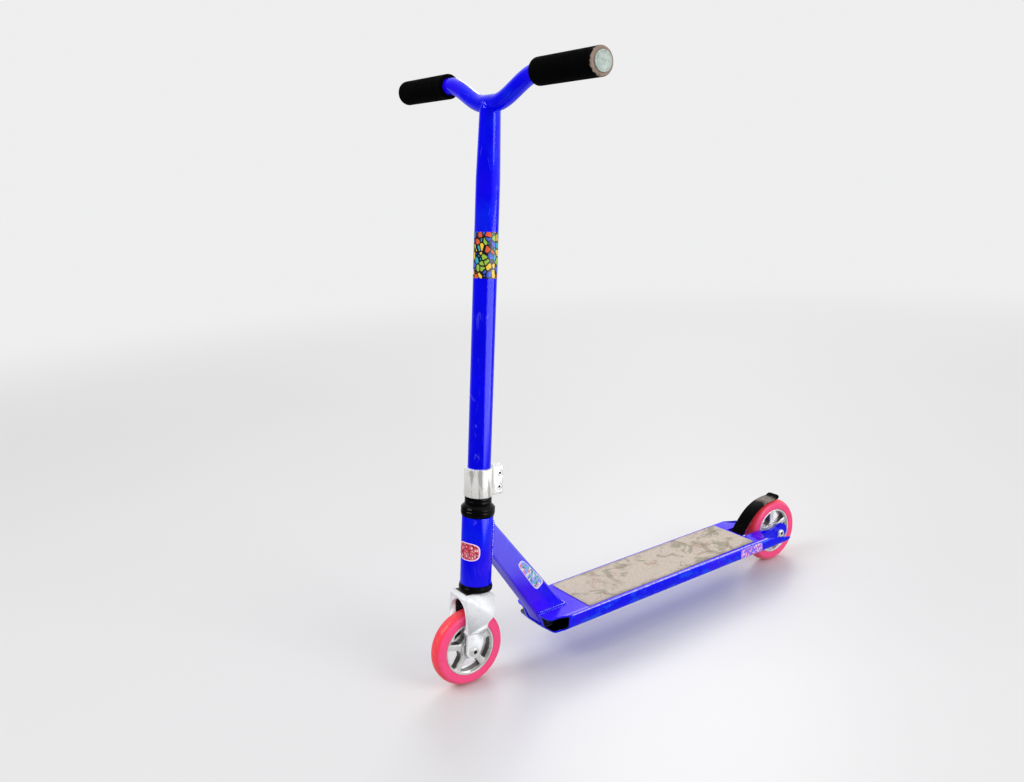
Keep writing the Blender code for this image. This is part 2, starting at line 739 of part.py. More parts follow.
def make_grip_tape(grit):
    """Add the grip tape on the deck's top."""
    half = DECK_WIDTH / 2 - TAPE_MARGIN
    front = DECK_NOSE + TAPE_START
    rear = brake_slot_front() - TAPE_END_MARGIN
    outline = rounded(rectangle(half, front, rear), TAPE_CORNER)
    low = DECK_TOP + FIT
    add_object("grip_tape", prism(outline, low, low + TAPE_THICKNESS, "Z"), grit)


# Headset, drawn along the steering axis

def make_headset(black, steel, axis):
    """Add the two pressed cups and the cartridge bearings that the head tube holds."""
    outer = CUP_DIAMETER / 2
    seat = HEAD_BEARING_DIAMETER / 2 + FIT
    skirt = HEAD_TUBE_DIAMETER / 2 - HEAD_TUBE_WALL - FIT
    bore = skirt - CUP_SKIRT_WALL
    cup = [
        (seat, 0.0),
        (outer - CUP_FLOOR, 0.0),
        (outer, CUP_FLOOR),
        (outer, CUP_HEIGHT),
        (skirt, CUP_HEIGHT),
        (skirt, CUP_HEIGHT + CUP_SKIRT),
        (bore, CUP_HEIGHT + CUP_SKIRT),
        (bore, CUP_HEIGHT - CUP_FLOOR),
        (seat, CUP_HEIGHT - CUP_FLOOR),
    ]
    lower = [(radius, LOWER_CUP_BASE + along) for radius, along in cup]
    upper = [(radius, UPPER_CUP_TOP - along) for radius, along in cup]
    add_object("lower_headset_cup", turned(lower), black, axis)
    add_object("upper_headset_cup", turned(upper), black, axis)
    lower_race = LOWER_CUP_TOP - CUP_FLOOR - FIT - HEAD_BEARING_HEIGHT
    upper_race = UPPER_CUP_BASE + CUP_FLOOR + FIT
    for name, base in (("lower_headset_bearing", lower_race), ("upper_headset_bearing", upper_race)):
        bearing = ring(HEAD_BEARING_BORE / 2, HEAD_BEARING_DIAMETER / 2,
                       base, base + HEAD_BEARING_HEIGHT)
        add_object(name, bearing, steel, axis)


def make_steered_headset(black, steel, axis):
    """Add the race, compression ring, cover and spacer that turn with the fork."""
    lower_bore = STEERER_LOWER_DIAMETER / 2 + FIT
    bore = STEERER_DIAMETER / 2 + FIT
    race_step = HEAD_BEARING_BORE / 2 - FIT
    base = CROWN_TOP + FIT
    flange = base + RACE_FLANGE
    race = [
        (lower_bore, base), (HEAD_BEARING_DIAMETER / 2 - FIT, base),
        (HEAD_BEARING_DIAMETER / 2 - FIT, flange - FIT), (race_step, flange - FIT),
        (race_step, base + RACE_HEIGHT), (lower_bore, base + RACE_HEIGHT),
    ]
    add_object("crown_race", turned(race), steel, axis)
    outer = CUP_DIAMETER / 2
    rim = COVER_BASE + COVER_RIM
    pocket = HEAD_BEARING_BORE / 2 + CUP_SKIRT_WALL
    cover = [
        (bore, rim), (pocket, rim), (pocket, COVER_BASE), (outer - CUP_FLOOR / 2, COVER_BASE),
        (outer, COVER_BASE + CUP_FLOOR / 2), (outer, rim),
        (SPACER_DIAMETER / 2, COVER_TOP), (bore, COVER_TOP),
    ]
    add_object("headset_cover", turned(cover), black, axis)
    wedge_base = UPPER_CUP_BASE + CUP_FLOOR + FIT + HEAD_BEARING_HEIGHT / 2
    wedge = [
        (bore, wedge_base), (race_step - FIT, wedge_base), (race_step, UPPER_CUP_TOP - CUP_FLOOR),
        (race_step, COVER_BASE + FIT), (pocket - FIT, COVER_BASE + 2 * FIT),
        (pocket - FIT, rim - FIT), (bore, rim - FIT),
    ]
    add_object("compression_ring", turned(wedge), steel, axis)
    edge = CUP_FLOOR / 2
    spacer = [
        (bore, SPACER_BASE), (SPACER_DIAMETER / 2 - edge, SPACER_BASE),
        (SPACER_DIAMETER / 2, SPACER_BASE + edge), (SPACER_DIAMETER / 2, SPACER_TOP - edge),
        (SPACER_DIAMETER / 2 - edge, SPACER_TOP), (bore, SPACER_TOP),
    ]
    add_object("headset_spacer", turned(spacer), black, axis)


# Fork and steerer, drawn along the steering axis

def fork_profile():
    """Return the fork's side outline: its own Y backwards and its own Z upwards."""
    sweep = LEG_END_ARC_END - LEG_END_ARC_START
    steps = 2 * ARC_STEPS
    end = []
    for step in range(steps + 1):
        turn = LEG_END_ARC_START + sweep * step / steps
        end.append((-FORK_OFFSET + LEG_END_RADIUS * math.cos(turn),
                    LEG_END_RADIUS * math.sin(turn)))
    slope = LEG_SHOULDER
    upper = [
        (LEG_WAIST_REAR, LEG_STEP_HEIGHT),
        (LEG_WAIST_REAR + slope / 2, LEG_WAIST_HEIGHT - slope),
        (FORK_REAR, LEG_WAIST_HEIGHT + slope / 2),
        (FORK_REAR, CROWN_TOP - slope),
        (FORK_REAR - CROWN_REAR_CHAMFER, CROWN_TOP),
        (-FORK_FRONT + slope, CROWN_TOP),
        (-FORK_FRONT, CROWN_TOP - slope),
        (-FORK_FRONT, LEG_STEP_HEIGHT),
    ]
    return end + rounded(upper, [0.0, slope, slope, slope / 2, slope / 2, slope / 2, slope / 2,
                                 LEG_END_RADIUS / 2], 2)


def arch_outline(flare=0.0, inset=0.0):
    """Return the slot between the legs with its round top, in X and Z.

    The legs' part is wider by flare, fading out at the arch's top and at the feet.
    """
    half = FORK_GAP / 2 - inset
    top = ARCH_TOP - inset
    mouth_base = LEG_STEP_HEIGHT + LEG_LEDGE
    side = [
        (half, -2 * LEG_END_RADIUS),
        (half, mouth_base),
        (half + flare, mouth_base + flare),
        (half + flare, ARCH_TOP - MOUTH_RISE),
    ]
    steps = 3 * ARC_STEPS
    arc = []
    for step in range(steps + 1):
        turn = math.pi * step / steps
        height = top - half + half * math.sin(turn)
        share = min((top - height) / MOUTH_RISE, 1.0)
        arc.append(((half + flare * share) * math.cos(turn), height))
    return side + arc + [(-x, height) for x, height in reversed(side)]


def cut_mouth(fork):
    """Flare the front of the slot, so that the legs thin out towards their front edges."""
    rings = []
    for depth, share in ((FORK_FRONT - MOUTH_DEPTH, 0.0), (FORK_FRONT + MOUTH_DEPTH, 2.0)):
        outline = arch_outline(share * MOUTH_FLARE, FIT)
        rings.append([(x, -depth, height) for x, height in outline])
    cut(fork, loft(*rings))


def make_fork(silver, axis):
    """Add the forged fork: crown, two legs and the thin feet that hold the axle."""
    half = FORK_WIDTH / 2
    blank = prism(fork_profile(), -half, half, "X")
    slope = FORK_SIDE_TAPER / (CROWN_TOP - LEG_STEP_HEIGHT)
    for corner in blank.verts:
        corner.co.x -= math.copysign(slope * (corner.co.z - LEG_STEP_HEIGHT), corner.co.x)
    fork = add_object("fork", blank, silver, axis)
    bevel(fork, FORK_EDGE)
    reach = FORK_FRONT + FORK_REAR
    cut(fork, prism(arch_outline(), -reach, reach, "Y"))
    cut_mouth(fork)
    foot = FORK_GAP / 2 + LEG_FOOT_WALL
    for side in (1, -1):
        step = [
            (side * foot, -2 * LEG_END_RADIUS),
            (side * foot, LEG_STEP_HEIGHT),
            (side * (half - LEG_LEDGE), LEG_STEP_HEIGHT),
            (side * (half + LEG_LEDGE), LEG_STEP_HEIGHT + 2 * LEG_LEDGE),
            (side * FORK_WIDTH, LEG_STEP_HEIGHT),
            (side * FORK_WIDTH, -2 * LEG_END_RADIUS),
        ]
        cut(fork, prism(step, -reach, reach, "Y"))
    hole = rod(AXLE_DIAMETER / 2 + FIT, -FORK_WIDTH, FORK_WIDTH, BOLT_SIDES, "X")
    bmesh.ops.translate(hole, verts=hole.verts, vec=(0.0, -FORK_OFFSET, 0.0))
    cut(fork, hole)
    cut(fork, rod(STEERER_LOWER_DIAMETER / 2 + FIT, ARCH_TOP - FORK_GAP / 2,
                  CROWN_TOP + CROWN_THICKNESS))
    return fork


def make_steerer(silver, axis):
    """Add the stepped steerer tube that is pressed into the crown."""
    lower = STEERER_LOWER_DIAMETER / 2
    upper = STEERER_DIAMETER / 2
    bore = upper - STEERER_WALL
    base = ARCH_TOP + CROWN_THICKNESS / 4
    shoulder = CROWN_TOP + STEERER_SHOULDER
    tube = [
        (bore, base), (lower, base), (lower, shoulder),
        (upper, shoulder + lower - upper), (upper, STEERER_TOP), (bore, STEERER_TOP),
    ]
    add_object("steerer_tube", turned(tube, TUBE_SIDES), silver, axis)


def make_compression(black, steel, axis):
    """Add the shim, cap, star nut and bolt that pull the headset together."""
    inner = STEERER_DIAMETER / 2 + FIT
    outer = BAR_TUBE_DIAMETER / 2 - BAR_TUBE_WALL - FIT
    top = STEERER_TOP + PRELOAD_GAP
    shim = ring(inner, outer, CLAMP_BASE, top, TUBE_SIDES)
    add_object("compression_shim", shim, steel, axis)
    bolt = COMPRESSION_BOLT_DIAMETER / 2
    cap_base = top + FIT
    cap_top = cap_base + SHIM_CAP
    cap = ring(bolt + FIT, outer - FIT, cap_base, cap_top, TUBE_SIDES)
    add_object("compression_cap", cap, black, axis)
    socket_bolt("compression_bolt", steel, (COMPRESSION_HEAD_DIAMETER, SHIM_CAP),
                COMPRESSION_BOLT_DIAMETER, COMPRESSION_BOLT_LENGTH, "Z", 1, cap_top + FIT,
                axis, (0, 0, 0))
    nut_top = STEERER_TOP - STAR_NUT_DEPTH
    wall = STEERER_DIAMETER / 2 - STEERER_WALL - FIT
    sleeve = bolt + FIT
    flange = STAR_NUT_FLANGE
    star = [
        (sleeve, nut_top - STAR_NUT_HEIGHT), (wall, nut_top - STAR_NUT_HEIGHT),
        (wall, nut_top - STAR_NUT_HEIGHT + flange),
        (2 * sleeve - FIT, nut_top - STAR_NUT_HEIGHT + 2 * flange),
        (2 * sleeve - FIT, nut_top - flange), (wall, nut_top - flange),
        (wall, nut_top), (sleeve, nut_top),
    ]
    add_object("star_nut", turned(star, BOLT_SIDES), steel, axis)


# Bar clamp, bar and grips, drawn along the steering axis

def clamp_plan():
    """Return the clamp's outline seen from above: a round with two flat ears behind."""
    radius = CLAMP_DIAMETER / 2
    ear = CLAMP_EAR_WIDTH / 2
    start = math.asin(ear / radius)
    outline = []
    steps = 6 * ARC_STEPS
    for step in range(steps + 1):
        turn = start + (2 * math.pi - 2 * start) * step / steps
        outline.append((radius * math.sin(turn), radius * math.cos(turn)))
    corner = CLAMP_EDGE * 2
    outline.append((-ear, CLAMP_EAR_REACH - corner))
    outline.append((-ear + corner, CLAMP_EAR_REACH))
    outline.append((ear - corner, CLAMP_EAR_REACH))
    outline.append((ear, CLAMP_EAR_REACH - corner))
    return outline


def make_clamp(silver, steel, axis):
    """Add the slotted two-bolt clamp round the bar and its bolts."""
    clamp = add_object("bar_clamp", prism(clamp_plan(), CLAMP_BASE, CLAMP_TOP, "Z"),
                       silver, axis)
    bevel(clamp, CLAMP_EDGE)
    past = CLAMP_EDGE * 4
    cut(clamp, rod(BAR_TUBE_DIAMETER / 2 + FIT, CLAMP_BASE - past, CLAMP_TOP + past, RING_SIDES))
    slit = rectangle(CLAMP_SLIT / 2, BAR_TUBE_DIAMETER / 4, CLAMP_EAR_REACH + past)
    cut(clamp, prism(slit, CLAMP_BASE - past, CLAMP_TOP + past, "Z"))
    middle = (CLAMP_BASE + CLAMP_TOP) / 2
    ear = CLAMP_EAR_WIDTH / 2
    head = (CLAMP_HEAD_DIAMETER, CLAMP_HEAD_HEIGHT)
    recess = ear - head[1] - FIT
    length = recess + ear - CLAMP_EDGE
    for name, way in (("clamp_bolt_upper", 0.5), ("clamp_bolt_lower", -0.5)):
        place = (0.0, CLAMP_BOLT_REACH, middle + way * CLAMP_BOLT_SPACING)
        shank = CLAMP_BOLT_DIAMETER / 2 + FIT
        wide = head[0] / 2 + FIT
        hole = turned([(0.0, -ear - past), (shank, -ear - past), (shank, recess - FIT),
                       (wide, recess - FIT), (wide, ear + past), (0.0, ear + past)],
                      BOLT_SIDES, "X")
        bmesh.ops.translate(hole, verts=hole.verts, vec=place)
        cut(clamp, hole)
        socket_bolt(name, steel, head, CLAMP_BOLT_DIAMETER, length, "X", 1, recess, axis, place)


def crossbar_height(across):
    """Return the crossbar's height: a smooth rise from the middle to the grips."""
    share = (abs(across) - BAR_BEND_START) / (BAR_BEND_END - BAR_BEND_START)
    share = min(max(share, 0.0), 1.0)
    return BAR_HEIGHT - BAR_RISE * (1 - share * share * (3 - 2 * share))


def crossbar_path(reach):
    """Return points along the crossbar's middle from one end to the other."""
    steps = 2 * ARC_STEPS
    length = BAR_BEND_END - BAR_BEND_START
    half = [BAR_BEND_START + length * step / steps for step in range(steps + 1)] + [reach]
    run = [-across for across in reversed(half)] + half
    return [Vector((across, 0.0, crossbar_height(across))) for across in run]


def make_bar(paint, axis):
    """Add the bar: a tapered down tube welded under a bent crossbar, both hollow."""
    middle = crossbar_height(0.0)
    taper_top = middle - CROSSBAR_DIAMETER / 2
    taper_base = taper_top - BAR_TAPER_LENGTH
    radius = BAR_TUBE_DIAMETER / 2
    necked = BAR_NECKED_DIAMETER / 2
    base = CLAMP_BASE + FIT
    bore_top = taper_top - PLATE
    tube = [
        (0.0, bore_top), (necked - BAR_TUBE_WALL, bore_top),
        (radius - BAR_TUBE_WALL, taper_base), (radius - BAR_TUBE_WALL, base),
        (radius, base), (radius, taper_base), (necked, taper_top),
        (necked, middle + PLATE), (0.0, middle + PLATE),
    ]
    bar = add_object("handlebar", turned(tube, TUBE_SIDES), paint, axis)
    slit = rectangle(BAR_SLIT_WIDTH / 2, radius / 2, BAR_TUBE_DIAMETER)
    cut(bar, prism(slit, base - PLATE, base + BAR_SLIT_LENGTH, "Z"))
    cut(bar, swept_tube(crossbar_path(BAR_HALF_WIDTH), CROSSBAR_DIAMETER / 2, TUBE_SIDES),
        "UNION")
    cut(bar, swept_tube(crossbar_path(BAR_HALF_WIDTH + PLATE),
                        CROSSBAR_DIAMETER / 2 - CROSSBAR_WALL, TUBE_SIDES))
    return bar


def grip_profile():
    """Return a grip's profile: ribs with grooves between them and round ends."""
    bore = CROSSBAR_DIAMETER / 2 + FIT
    radius = GRIP_DIAMETER / 2
    pitch = (GRIP_LENGTH - 4 * GRIP_END_ROUND) / GRIP_RIBS
    profile = [(bore, 0.0), (radius - GRIP_END_ROUND, 0.0), (radius, GRIP_END_ROUND)]
    for rib in range(GRIP_RIBS):
        middle = 2 * GRIP_END_ROUND + (rib + 0.5) * pitch
        profile.append((radius, middle - GRIP_GROOVE_WIDTH / 2))
        profile.append((radius - GRIP_GROOVE, middle))
        profile.append((radius, middle + GRIP_GROOVE_WIDTH / 2))
    profile.append((radius, GRIP_LENGTH - GRIP_END_ROUND))
    profile.append((radius - GRIP_END_ROUND, GRIP_LENGTH))
    profile.append((bore, GRIP_LENGTH))
    return profile


def make_grips(rubber, plastic, axis):
    """Add the two rubber grips and the plugs in the crossbar's open ends."""
    insert = CROSSBAR_DIAMETER / 2 - CROSSBAR_WALL - FIT
    flange = PLUG_DIAMETER / 2
    start = BAR_HALF_WIDTH + FIT
    plug = [
        (0.0, start - PLUG_INSERT), (insert - FIT, start - PLUG_INSERT), (insert, start),
        (flange, start), (flange, start + PLUG_FLANGE),
        (PLUG_DOME_DIAMETER / 2, start + PLUG_FLANGE + PLUG_DOME * 3 / 4),
        (0.0, start + PLUG_FLANGE + PLUG_DOME),
    ]
    inner = BAR_HALF_WIDTH - GRIP_LENGTH
    grip = [(radius, inner + along) for radius, along in grip_profile()]
    for name, way in (("left", 1), ("right", -1)):
        for piece, profile, material in (("grip", grip, rubber), ("bar_plug", plug, plastic)):
            sided = [(radius, way * along) for radius, along in profile]
            thing = add_object(f"{piece}_{name}", turned(sided, TUBE_SIDES, "X"), material, axis)
            thing.location = (0.0, 0.0, BAR_HEIGHT)


# Wheels and axles

def tyre_profile():
    """Return the tyre's profile: a crown that falls towards the shoulders."""
    half = TYRE_WIDTH / 2
    bore = CORE_DIAMETER / 2 + FIT
    rim = CORE_RIM_WIDTH / 2
    crown = []
    for step in range(CROWN_STEPS + 1):
        across = half * (2 * step / CROWN_STEPS - 1)
        drop = TYRE_SHOULDER_DROP * abs(across / half) ** TYRE_CROWN_POWER
        crown.append((WHEEL_RADIUS - drop, across))
    return [(bore, -rim), *crown, (bore, rim)]


def core_profile():
    """Return the core's profile: hub, web and rim, with a seat for each bearing."""
    half = TYRE_WIDTH / 2
    hub = CORE_HUB_DIAMETER / 2
    seat = BEARING_DIAMETER / 2 + FIT
    bore = seat - BEARING_SPACER_WALL
    seat_depth = half - BEARING_WIDTH - FIT
    web = CORE_WEB_WIDTH / 2
    rim = CORE_RIM_WIDTH / 2
    rim_inner = CORE_DIAMETER / 2 - CORE_RIM_WALL
    side = [
        (bore, seat_depth), (seat, seat_depth), (seat, half), (hub, half),
        (hub + CORE_HUB_FLARE, web), (rim_inner, web),
        (rim_inner + CORE_RIM_WALL / 3, rim), (CORE_DIAMETER / 2, rim),
    ]
    return [(radius, -along) for radius, along in side] + list(reversed(side))


def window_outline(index):
    """Return one opening between two spokes, in Y and Z."""
    pitch = 2 * math.pi / SPOKES
    middle = math.pi / 2 + pitch * (index + 0.5)
    inner = CORE_HUB_DIAMETER / 2 + CORE_HUB_FLARE + WINDOW_MARGIN
    outer = CORE_DIAMETER / 2 - CORE_RIM_WALL - WINDOW_MARGIN
    shoulder = outer - WINDOW_CORNER
    polar = []
    for radius in (inner, shoulder):
        polar.append((radius, pitch / 2 - math.asin(SPOKE_WIDTH / 2 / radius)))
    arc = polar[-1][1] - WINDOW_CORNER / shoulder
    polar.append((outer, arc))
    polar.append((outer, arc / 3))
    polar += [(radius, -turn) for radius, turn in reversed(polar)]
    return [(radius * math.cos(middle + turn), radius * math.sin(middle + turn))
            for radius, turn in polar]


def make_wheel(end, urethane, alloy, steel, hub):
    """Add one wheel: tyre, spoked core, two bearings and the spacer between them."""
    half = TYRE_WIDTH / 2
    tyre = turned(tyre_profile(), TYRE_SIDES, "X")
    add_object(f"{end}_tyre", tyre, urethane, hub)
    core = add_object(f"{end}_wheel_core", turned(core_profile(), TYRE_SIDES, "X"), alloy, hub)
    for index in range(SPOKES):
        cut(core, prism(window_outline(index), -half, half, "X"))
    bore = BEARING_BORE / 2
    outer = BEARING_DIAMETER / 2
    for name, way in (("left", 1), ("right", -1)):
        faces = sorted((way * (half - BEARING_WIDTH), way * half))
        bearing = ring(bore, outer, faces[0], faces[1], TUBE_SIDES, "X")
        add_object(f"{end}_bearing_{name}", bearing, steel, hub)
    reach = half - BEARING_WIDTH - FIT
    spacer = ring(bore, bore + BEARING_SPACER_WALL, -reach, reach, TUBE_SIDES, "X")
    add_object(f"{end}_bearing_spacer", spacer, steel, hub)


def make_axle(end, outer_face, inner_face, spacer_diameter, steel, hub):
    """Add an axle bolt, its nut and the spacers that centre the wheel."""
    seat = outer_face + FIT
    length = 2 * seat + AXLE_NUT_HEIGHT + THREAD_END
    socket_bolt(f"{end}_axle_bolt", steel, (AXLE_HEAD_DIAMETER, AXLE_HEAD_HEIGHT),
                AXLE_DIAMETER, length, "X", 1, seat, hub, (0, 0, 0))
    hex_nut(f"{end}_axle_nut", steel, AXLE_NUT_WIDTH, AXLE_DIAMETER + 2 * FIT,
            -seat - AXLE_NUT_HEIGHT, -seat, hub, (0, 0, 0))
    start = TYRE_WIDTH / 2 + FIT
    stop = inner_face - FIT
    bore = AXLE_DIAMETER / 2 + FIT
    for name, way in (("left", 1), ("right", -1)):
        faces = sorted((way * start, way * stop))
        spacer = ring(bore, spacer_diameter / 2, faces[0], faces[1], BOLT_SIDES, "X")
        add_object(f"{end}_axle_spacer_{name}", spacer, steel, hub)


# Flex brake

def brake_path():
    """Return the outer face of the brake strip from its apex forwards and down, in Y and Z.

    A flat top leads into an arc over the tyre, then the strip runs straight down into the
    slot, turns flat on the bottom plate and ends as the foot.
    """
    arc = []
    steps = 2 * ARC_STEPS
    for step in range(steps + 1):
        turn = BRAKE_LEAN * step / steps
        arc.append(Vector((BRAKE_APEX_Y - BRAKE_ARC_RADIUS * math.sin(turn),
                           BRAKE_APEX_Z - BRAKE_ARC_RADIUS * (1 - math.cos(turn)))))
    return arc


def brake_foot_end():
    """Return where the sloping strip meets the level of the foot's top, in Y."""
    start = brake_path()[-1]
    foot_top = BRAKE_FOOT_Z + BRAKE_THICKNESS
    return start.x - (start.y - foot_top) / math.tan(BRAKE_LEAN)


def brake_bolt_y():
    """Return the middle of the two bolts through the foot."""
    return brake_foot_end() - BRAKE_FOOT_BEND - BRAKE_FOOT_LENGTH / 2


def strip_outline(path, thickness):
    """Return a closed outline: a path and its copy offset to the right of its travel."""
    offset = []
    for index, point in enumerate(path):
        before = path[max(index - 1, 0)]
        after = path[min(index + 1, len(path) - 1)]
        run = (after - before).normalized()
        along_in = (point - before).normalized() if index else run
        stretch = max(run.dot(along_in), 0.5)
        offset.append(point + Vector((run.y, -run.x)) * thickness / stretch)
    return [tuple(point) for point in path] + [tuple(point) for point in reversed(offset)]


def make_brake(black, alloy, steel):
    """Add the brake strip, split at its bend, with its nut block and bolts."""
    half = BRAKE_WIDTH / 2
    slope = Vector((-math.cos(BRAKE_LEAN), -math.sin(BRAKE_LEAN)))
    bend = Vector((brake_foot_end(), BRAKE_FOOT_Z + BRAKE_THICKNESS))
    bend_start = bend - slope * BRAKE_FOOT_BEND
    lip_start = Vector((BRAKE_APEX_Y + BRAKE_FLAT, BRAKE_APEX_Z))
    lip_way = Vector((math.cos(BRAKE_LIP_ANGLE), math.sin(BRAKE_LIP_ANGLE)))
    lip_bend = Vector((BRAKE_LIP_BEND * math.sin(BRAKE_LIP_ANGLE / 2), 0.0))
    band = [bend_start - slope * 2 * FIT] + list(reversed(brake_path()))
    band += [lip_start - lip_bend, lip_start + lip_way * BRAKE_LIP_BEND / 4,
             lip_start + lip_way * BRAKE_LIP_LENGTH]
    outline = strip_outline(band, BRAKE_THICKNESS)
    hinge = brake_hinge()
    local = [(y - hinge.y, z - hinge.z) for y, z in outline]
    strip = add_object("brake_band", prism(local, -half, half, "X"), black)
    strip.location = hinge
    toe = Vector((bend.x - BRAKE_FOOT_BEND - BRAKE_FOOT_LENGTH, bend.y))
    foot = strip_outline([toe, bend - Vector((BRAKE_FOOT_BEND / 2, 0.0)),
                          bend - slope * BRAKE_FOOT_BEND / 2, bend_start], BRAKE_THICKNESS)
    foot_plate = add_object("brake_foot", prism(foot, -half, half, "X"), black)
    block_low = bend.y + FIT
    block = rectangle(half, toe.x + BRAKE_THICKNESS, bend.x - BRAKE_FOOT_BEND - FIT)
    nut_block = add_object("brake_nut_block",
                           prism(rounded(block, BRAKE_THICKNESS / 2, 2), block_low,
                                 block_low + BRAKE_BLOCK_HEIGHT, "Z"), alloy)
    length = block_low + BRAKE_BLOCK_HEIGHT - DECK_BOTTOM - THREAD_END
    for name, step in (("front", -0.5), ("rear", 0.5)):
        place = (0.0, brake_bolt_y() + step * BRAKE_BOLT_SPACING, 0.0)
        for piece in (foot_plate, nut_block):
            hole = rod(BRAKE_BOLT_DIAMETER / 2 + FIT, BRAKE_FOOT_Z - PLATE,
                       block_low + BRAKE_BLOCK_HEIGHT + PLATE, BOLT_SIDES)
            bmesh.ops.translate(hole, verts=hole.verts, vec=place)
            cut(piece, hole)
        socket_bolt(f"brake_bolt_{name}", steel,
                    (BRAKE_BOLT_HEAD_DIAMETER, BRAKE_BOLT_HEAD_HEIGHT),
                    BRAKE_BOLT_DIAMETER, length, "Z", -1, DECK_BOTTOM - FIT, None, place)


def brake_hinge():
    """Return the middle of the strip where it starts to bend freely."""
    bend = Vector((0.0, brake_foot_end(), BRAKE_FOOT_Z + BRAKE_THICKNESS))
    up_slope = Vector((0.0, math.cos(BRAKE_LEAN), math.sin(BRAKE_LEAN)))
    inward = Vector((0.0, math.sin(BRAKE_LEAN), -math.cos(BRAKE_LEAN)))
    return bend + up_slope * (BRAKE_FOOT_BEND + FIT) + inward * BRAKE_THICKNESS / 2


def main():
    """Build the scooter."""
    clear_scene()
    paint = finish("blue_paint", PAINT_BLUE, 0.25)
    alloy = finish("raw_alloy", (0.66, 0.66, 0.64), 0.35, 1.0)
    steel = finish("zinc_steel", (0.60, 0.60, 0.58), 0.30, 1.0)
    black = finish("black_anodised", (0.010, 0.010, 0.012), 0.25)
    strip = finish("black_steel_strip", (0.015, 0.015, 0.015), 0.45)
    rubber = finish("grip_rubber", (0.012, 0.012, 0.012), 0.70)
    plastic = finish("plug_plastic", (0.30, 0.36, 0.32), 0.50)
    urethane = finish("pink_urethane", (0.900, 0.045, 0.120), 0.35)
    grit = finish("grip_tape_grit", (0.36, 0.33, 0.27), 0.95)

    fixed_axis = add_empty("head_tube_axis", AXIS_FOOT, LEAN)
    steering = add_empty("steering_axis", AXIS_FOOT, LEAN)
    front_hub = add_empty("front_wheel_axis", FRONT_AXLE)
    rear_hub = add_empty("rear_wheel_axis", REAR_AXLE)

    make_deck(paint)
    make_neck(paint)
    make_head_tube(paint, fixed_axis)
    make_grip_tape(grit)
    make_headset(black, steel, fixed_axis)
    make_steered_headset(black, steel, steering)
    make_fork(alloy, steering)
    make_steerer(steel, steering)
    make_compression(black, steel, steering)
    make_clamp(alloy, steel, steering)
    make_bar(paint, steering)
    make_grips(rubber, plastic, steering)
    make_wheel("front", urethane, alloy, steel, front_hub)
    make_wheel("rear", urethane, alloy, steel, rear_hub)
    make_axle("front", FORK_GAP / 2 + LEG_FOOT_WALL, FORK_GAP / 2, FORK_WASHER_DIAMETER,
              steel, front_hub)
    make_axle("rear", RIB_OUTER_FACE, RIB_INNER_FACE, FORK_WASHER_DIAMETER, steel, rear_hub)
    make_brake(strip, alloy, steel)


main()
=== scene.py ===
"""Looks of the stunt scooter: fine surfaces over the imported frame, finishes, light and camera.

All points are in metres in the scooter's frame: X to the rider's left, Y backwards, Z up.
"""

import json
import logging
import math
from dataclasses import dataclass, replace
from enum import Enum
from typing import (Callable, Dict, List, Mapping, NamedTuple, Optional, Sequence, Tuple,
                    Union)

import bmesh
import bpy
import numpy as np
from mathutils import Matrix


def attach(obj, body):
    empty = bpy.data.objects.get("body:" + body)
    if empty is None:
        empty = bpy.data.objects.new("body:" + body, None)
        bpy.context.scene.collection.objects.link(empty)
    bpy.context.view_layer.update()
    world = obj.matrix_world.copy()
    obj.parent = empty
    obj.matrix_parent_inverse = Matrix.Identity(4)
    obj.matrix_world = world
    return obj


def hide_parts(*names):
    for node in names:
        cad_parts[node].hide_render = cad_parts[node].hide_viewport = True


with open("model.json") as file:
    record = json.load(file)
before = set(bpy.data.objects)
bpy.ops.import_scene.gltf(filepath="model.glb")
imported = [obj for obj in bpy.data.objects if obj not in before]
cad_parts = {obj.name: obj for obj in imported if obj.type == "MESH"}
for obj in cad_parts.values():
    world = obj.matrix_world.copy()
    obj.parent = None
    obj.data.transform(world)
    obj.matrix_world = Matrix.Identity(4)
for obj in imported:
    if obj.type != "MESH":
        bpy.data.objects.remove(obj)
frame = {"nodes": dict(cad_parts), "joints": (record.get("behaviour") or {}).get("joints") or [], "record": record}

Array = np.ndarray
Point = Tuple[float, float, float]
Colour = Tuple[float, float, float]

log = logging.getLogger("scooter")


# Placing

@dataclass(frozen=True)
class Axes:
    """A right-handed local frame; turned pieces run along its up direction."""

    origin: Point
    right: Point
    back: Point
    up: Point

    @property
    def directions(self) -> Array:
        """Return the three directions as rows."""
        return np.array([self.right, self.back, self.up])

    def place(self, points: Array) -> Array:
        """Return local points in the scooter's frame; their last axis holds the coordinates."""
        return np.array(self.origin) + points @ self.directions

    def local(self, points: Array) -> Array:
        """Return points of the scooter's frame in the local one."""
        return (points - np.array(self.origin)) @ self.directions.T

    def leftward(self, back: float, height: float) -> "Axes":
        """Return a frame on this one's middle plane whose up direction points left."""
        origin = self.place(np.array([0.0, back, height]))
        return Axes(tuple(origin.tolist()), self.back, self.up, self.right)


JOINTS: Dict[str, Mapping] = {joint["name"]: joint for joint in frame["joints"]}
LEAN_SIN, LEAN_COS = JOINTS["steering"]["axis"][1:]
STEERING = Axes(tuple(JOINTS["steering"]["pos_m"]), (1.0, 0.0, 0.0),
                (0.0, LEAN_COS, -LEAN_SIN), (0.0, LEAN_SIN, LEAN_COS))


def axle_axes(end: str) -> Axes:
    """Return the frame whose up direction runs along an end's axle to the left."""
    place = tuple(JOINTS[f"{end}_wheel_spin"]["pos_m"])
    return Axes(place, (0.0, 1.0, 0.0), (0.0, 0.0, 1.0), (1.0, 0.0, 0.0))


class Side(Enum):
    """The rider's sides; a side's value is its sign along X."""

    LEFT = 1
    RIGHT = -1

    @property
    def word(self) -> str:
        """Return the side as the names of pieces have it."""
        return self.name.lower()


# Sizes that more than one class needs

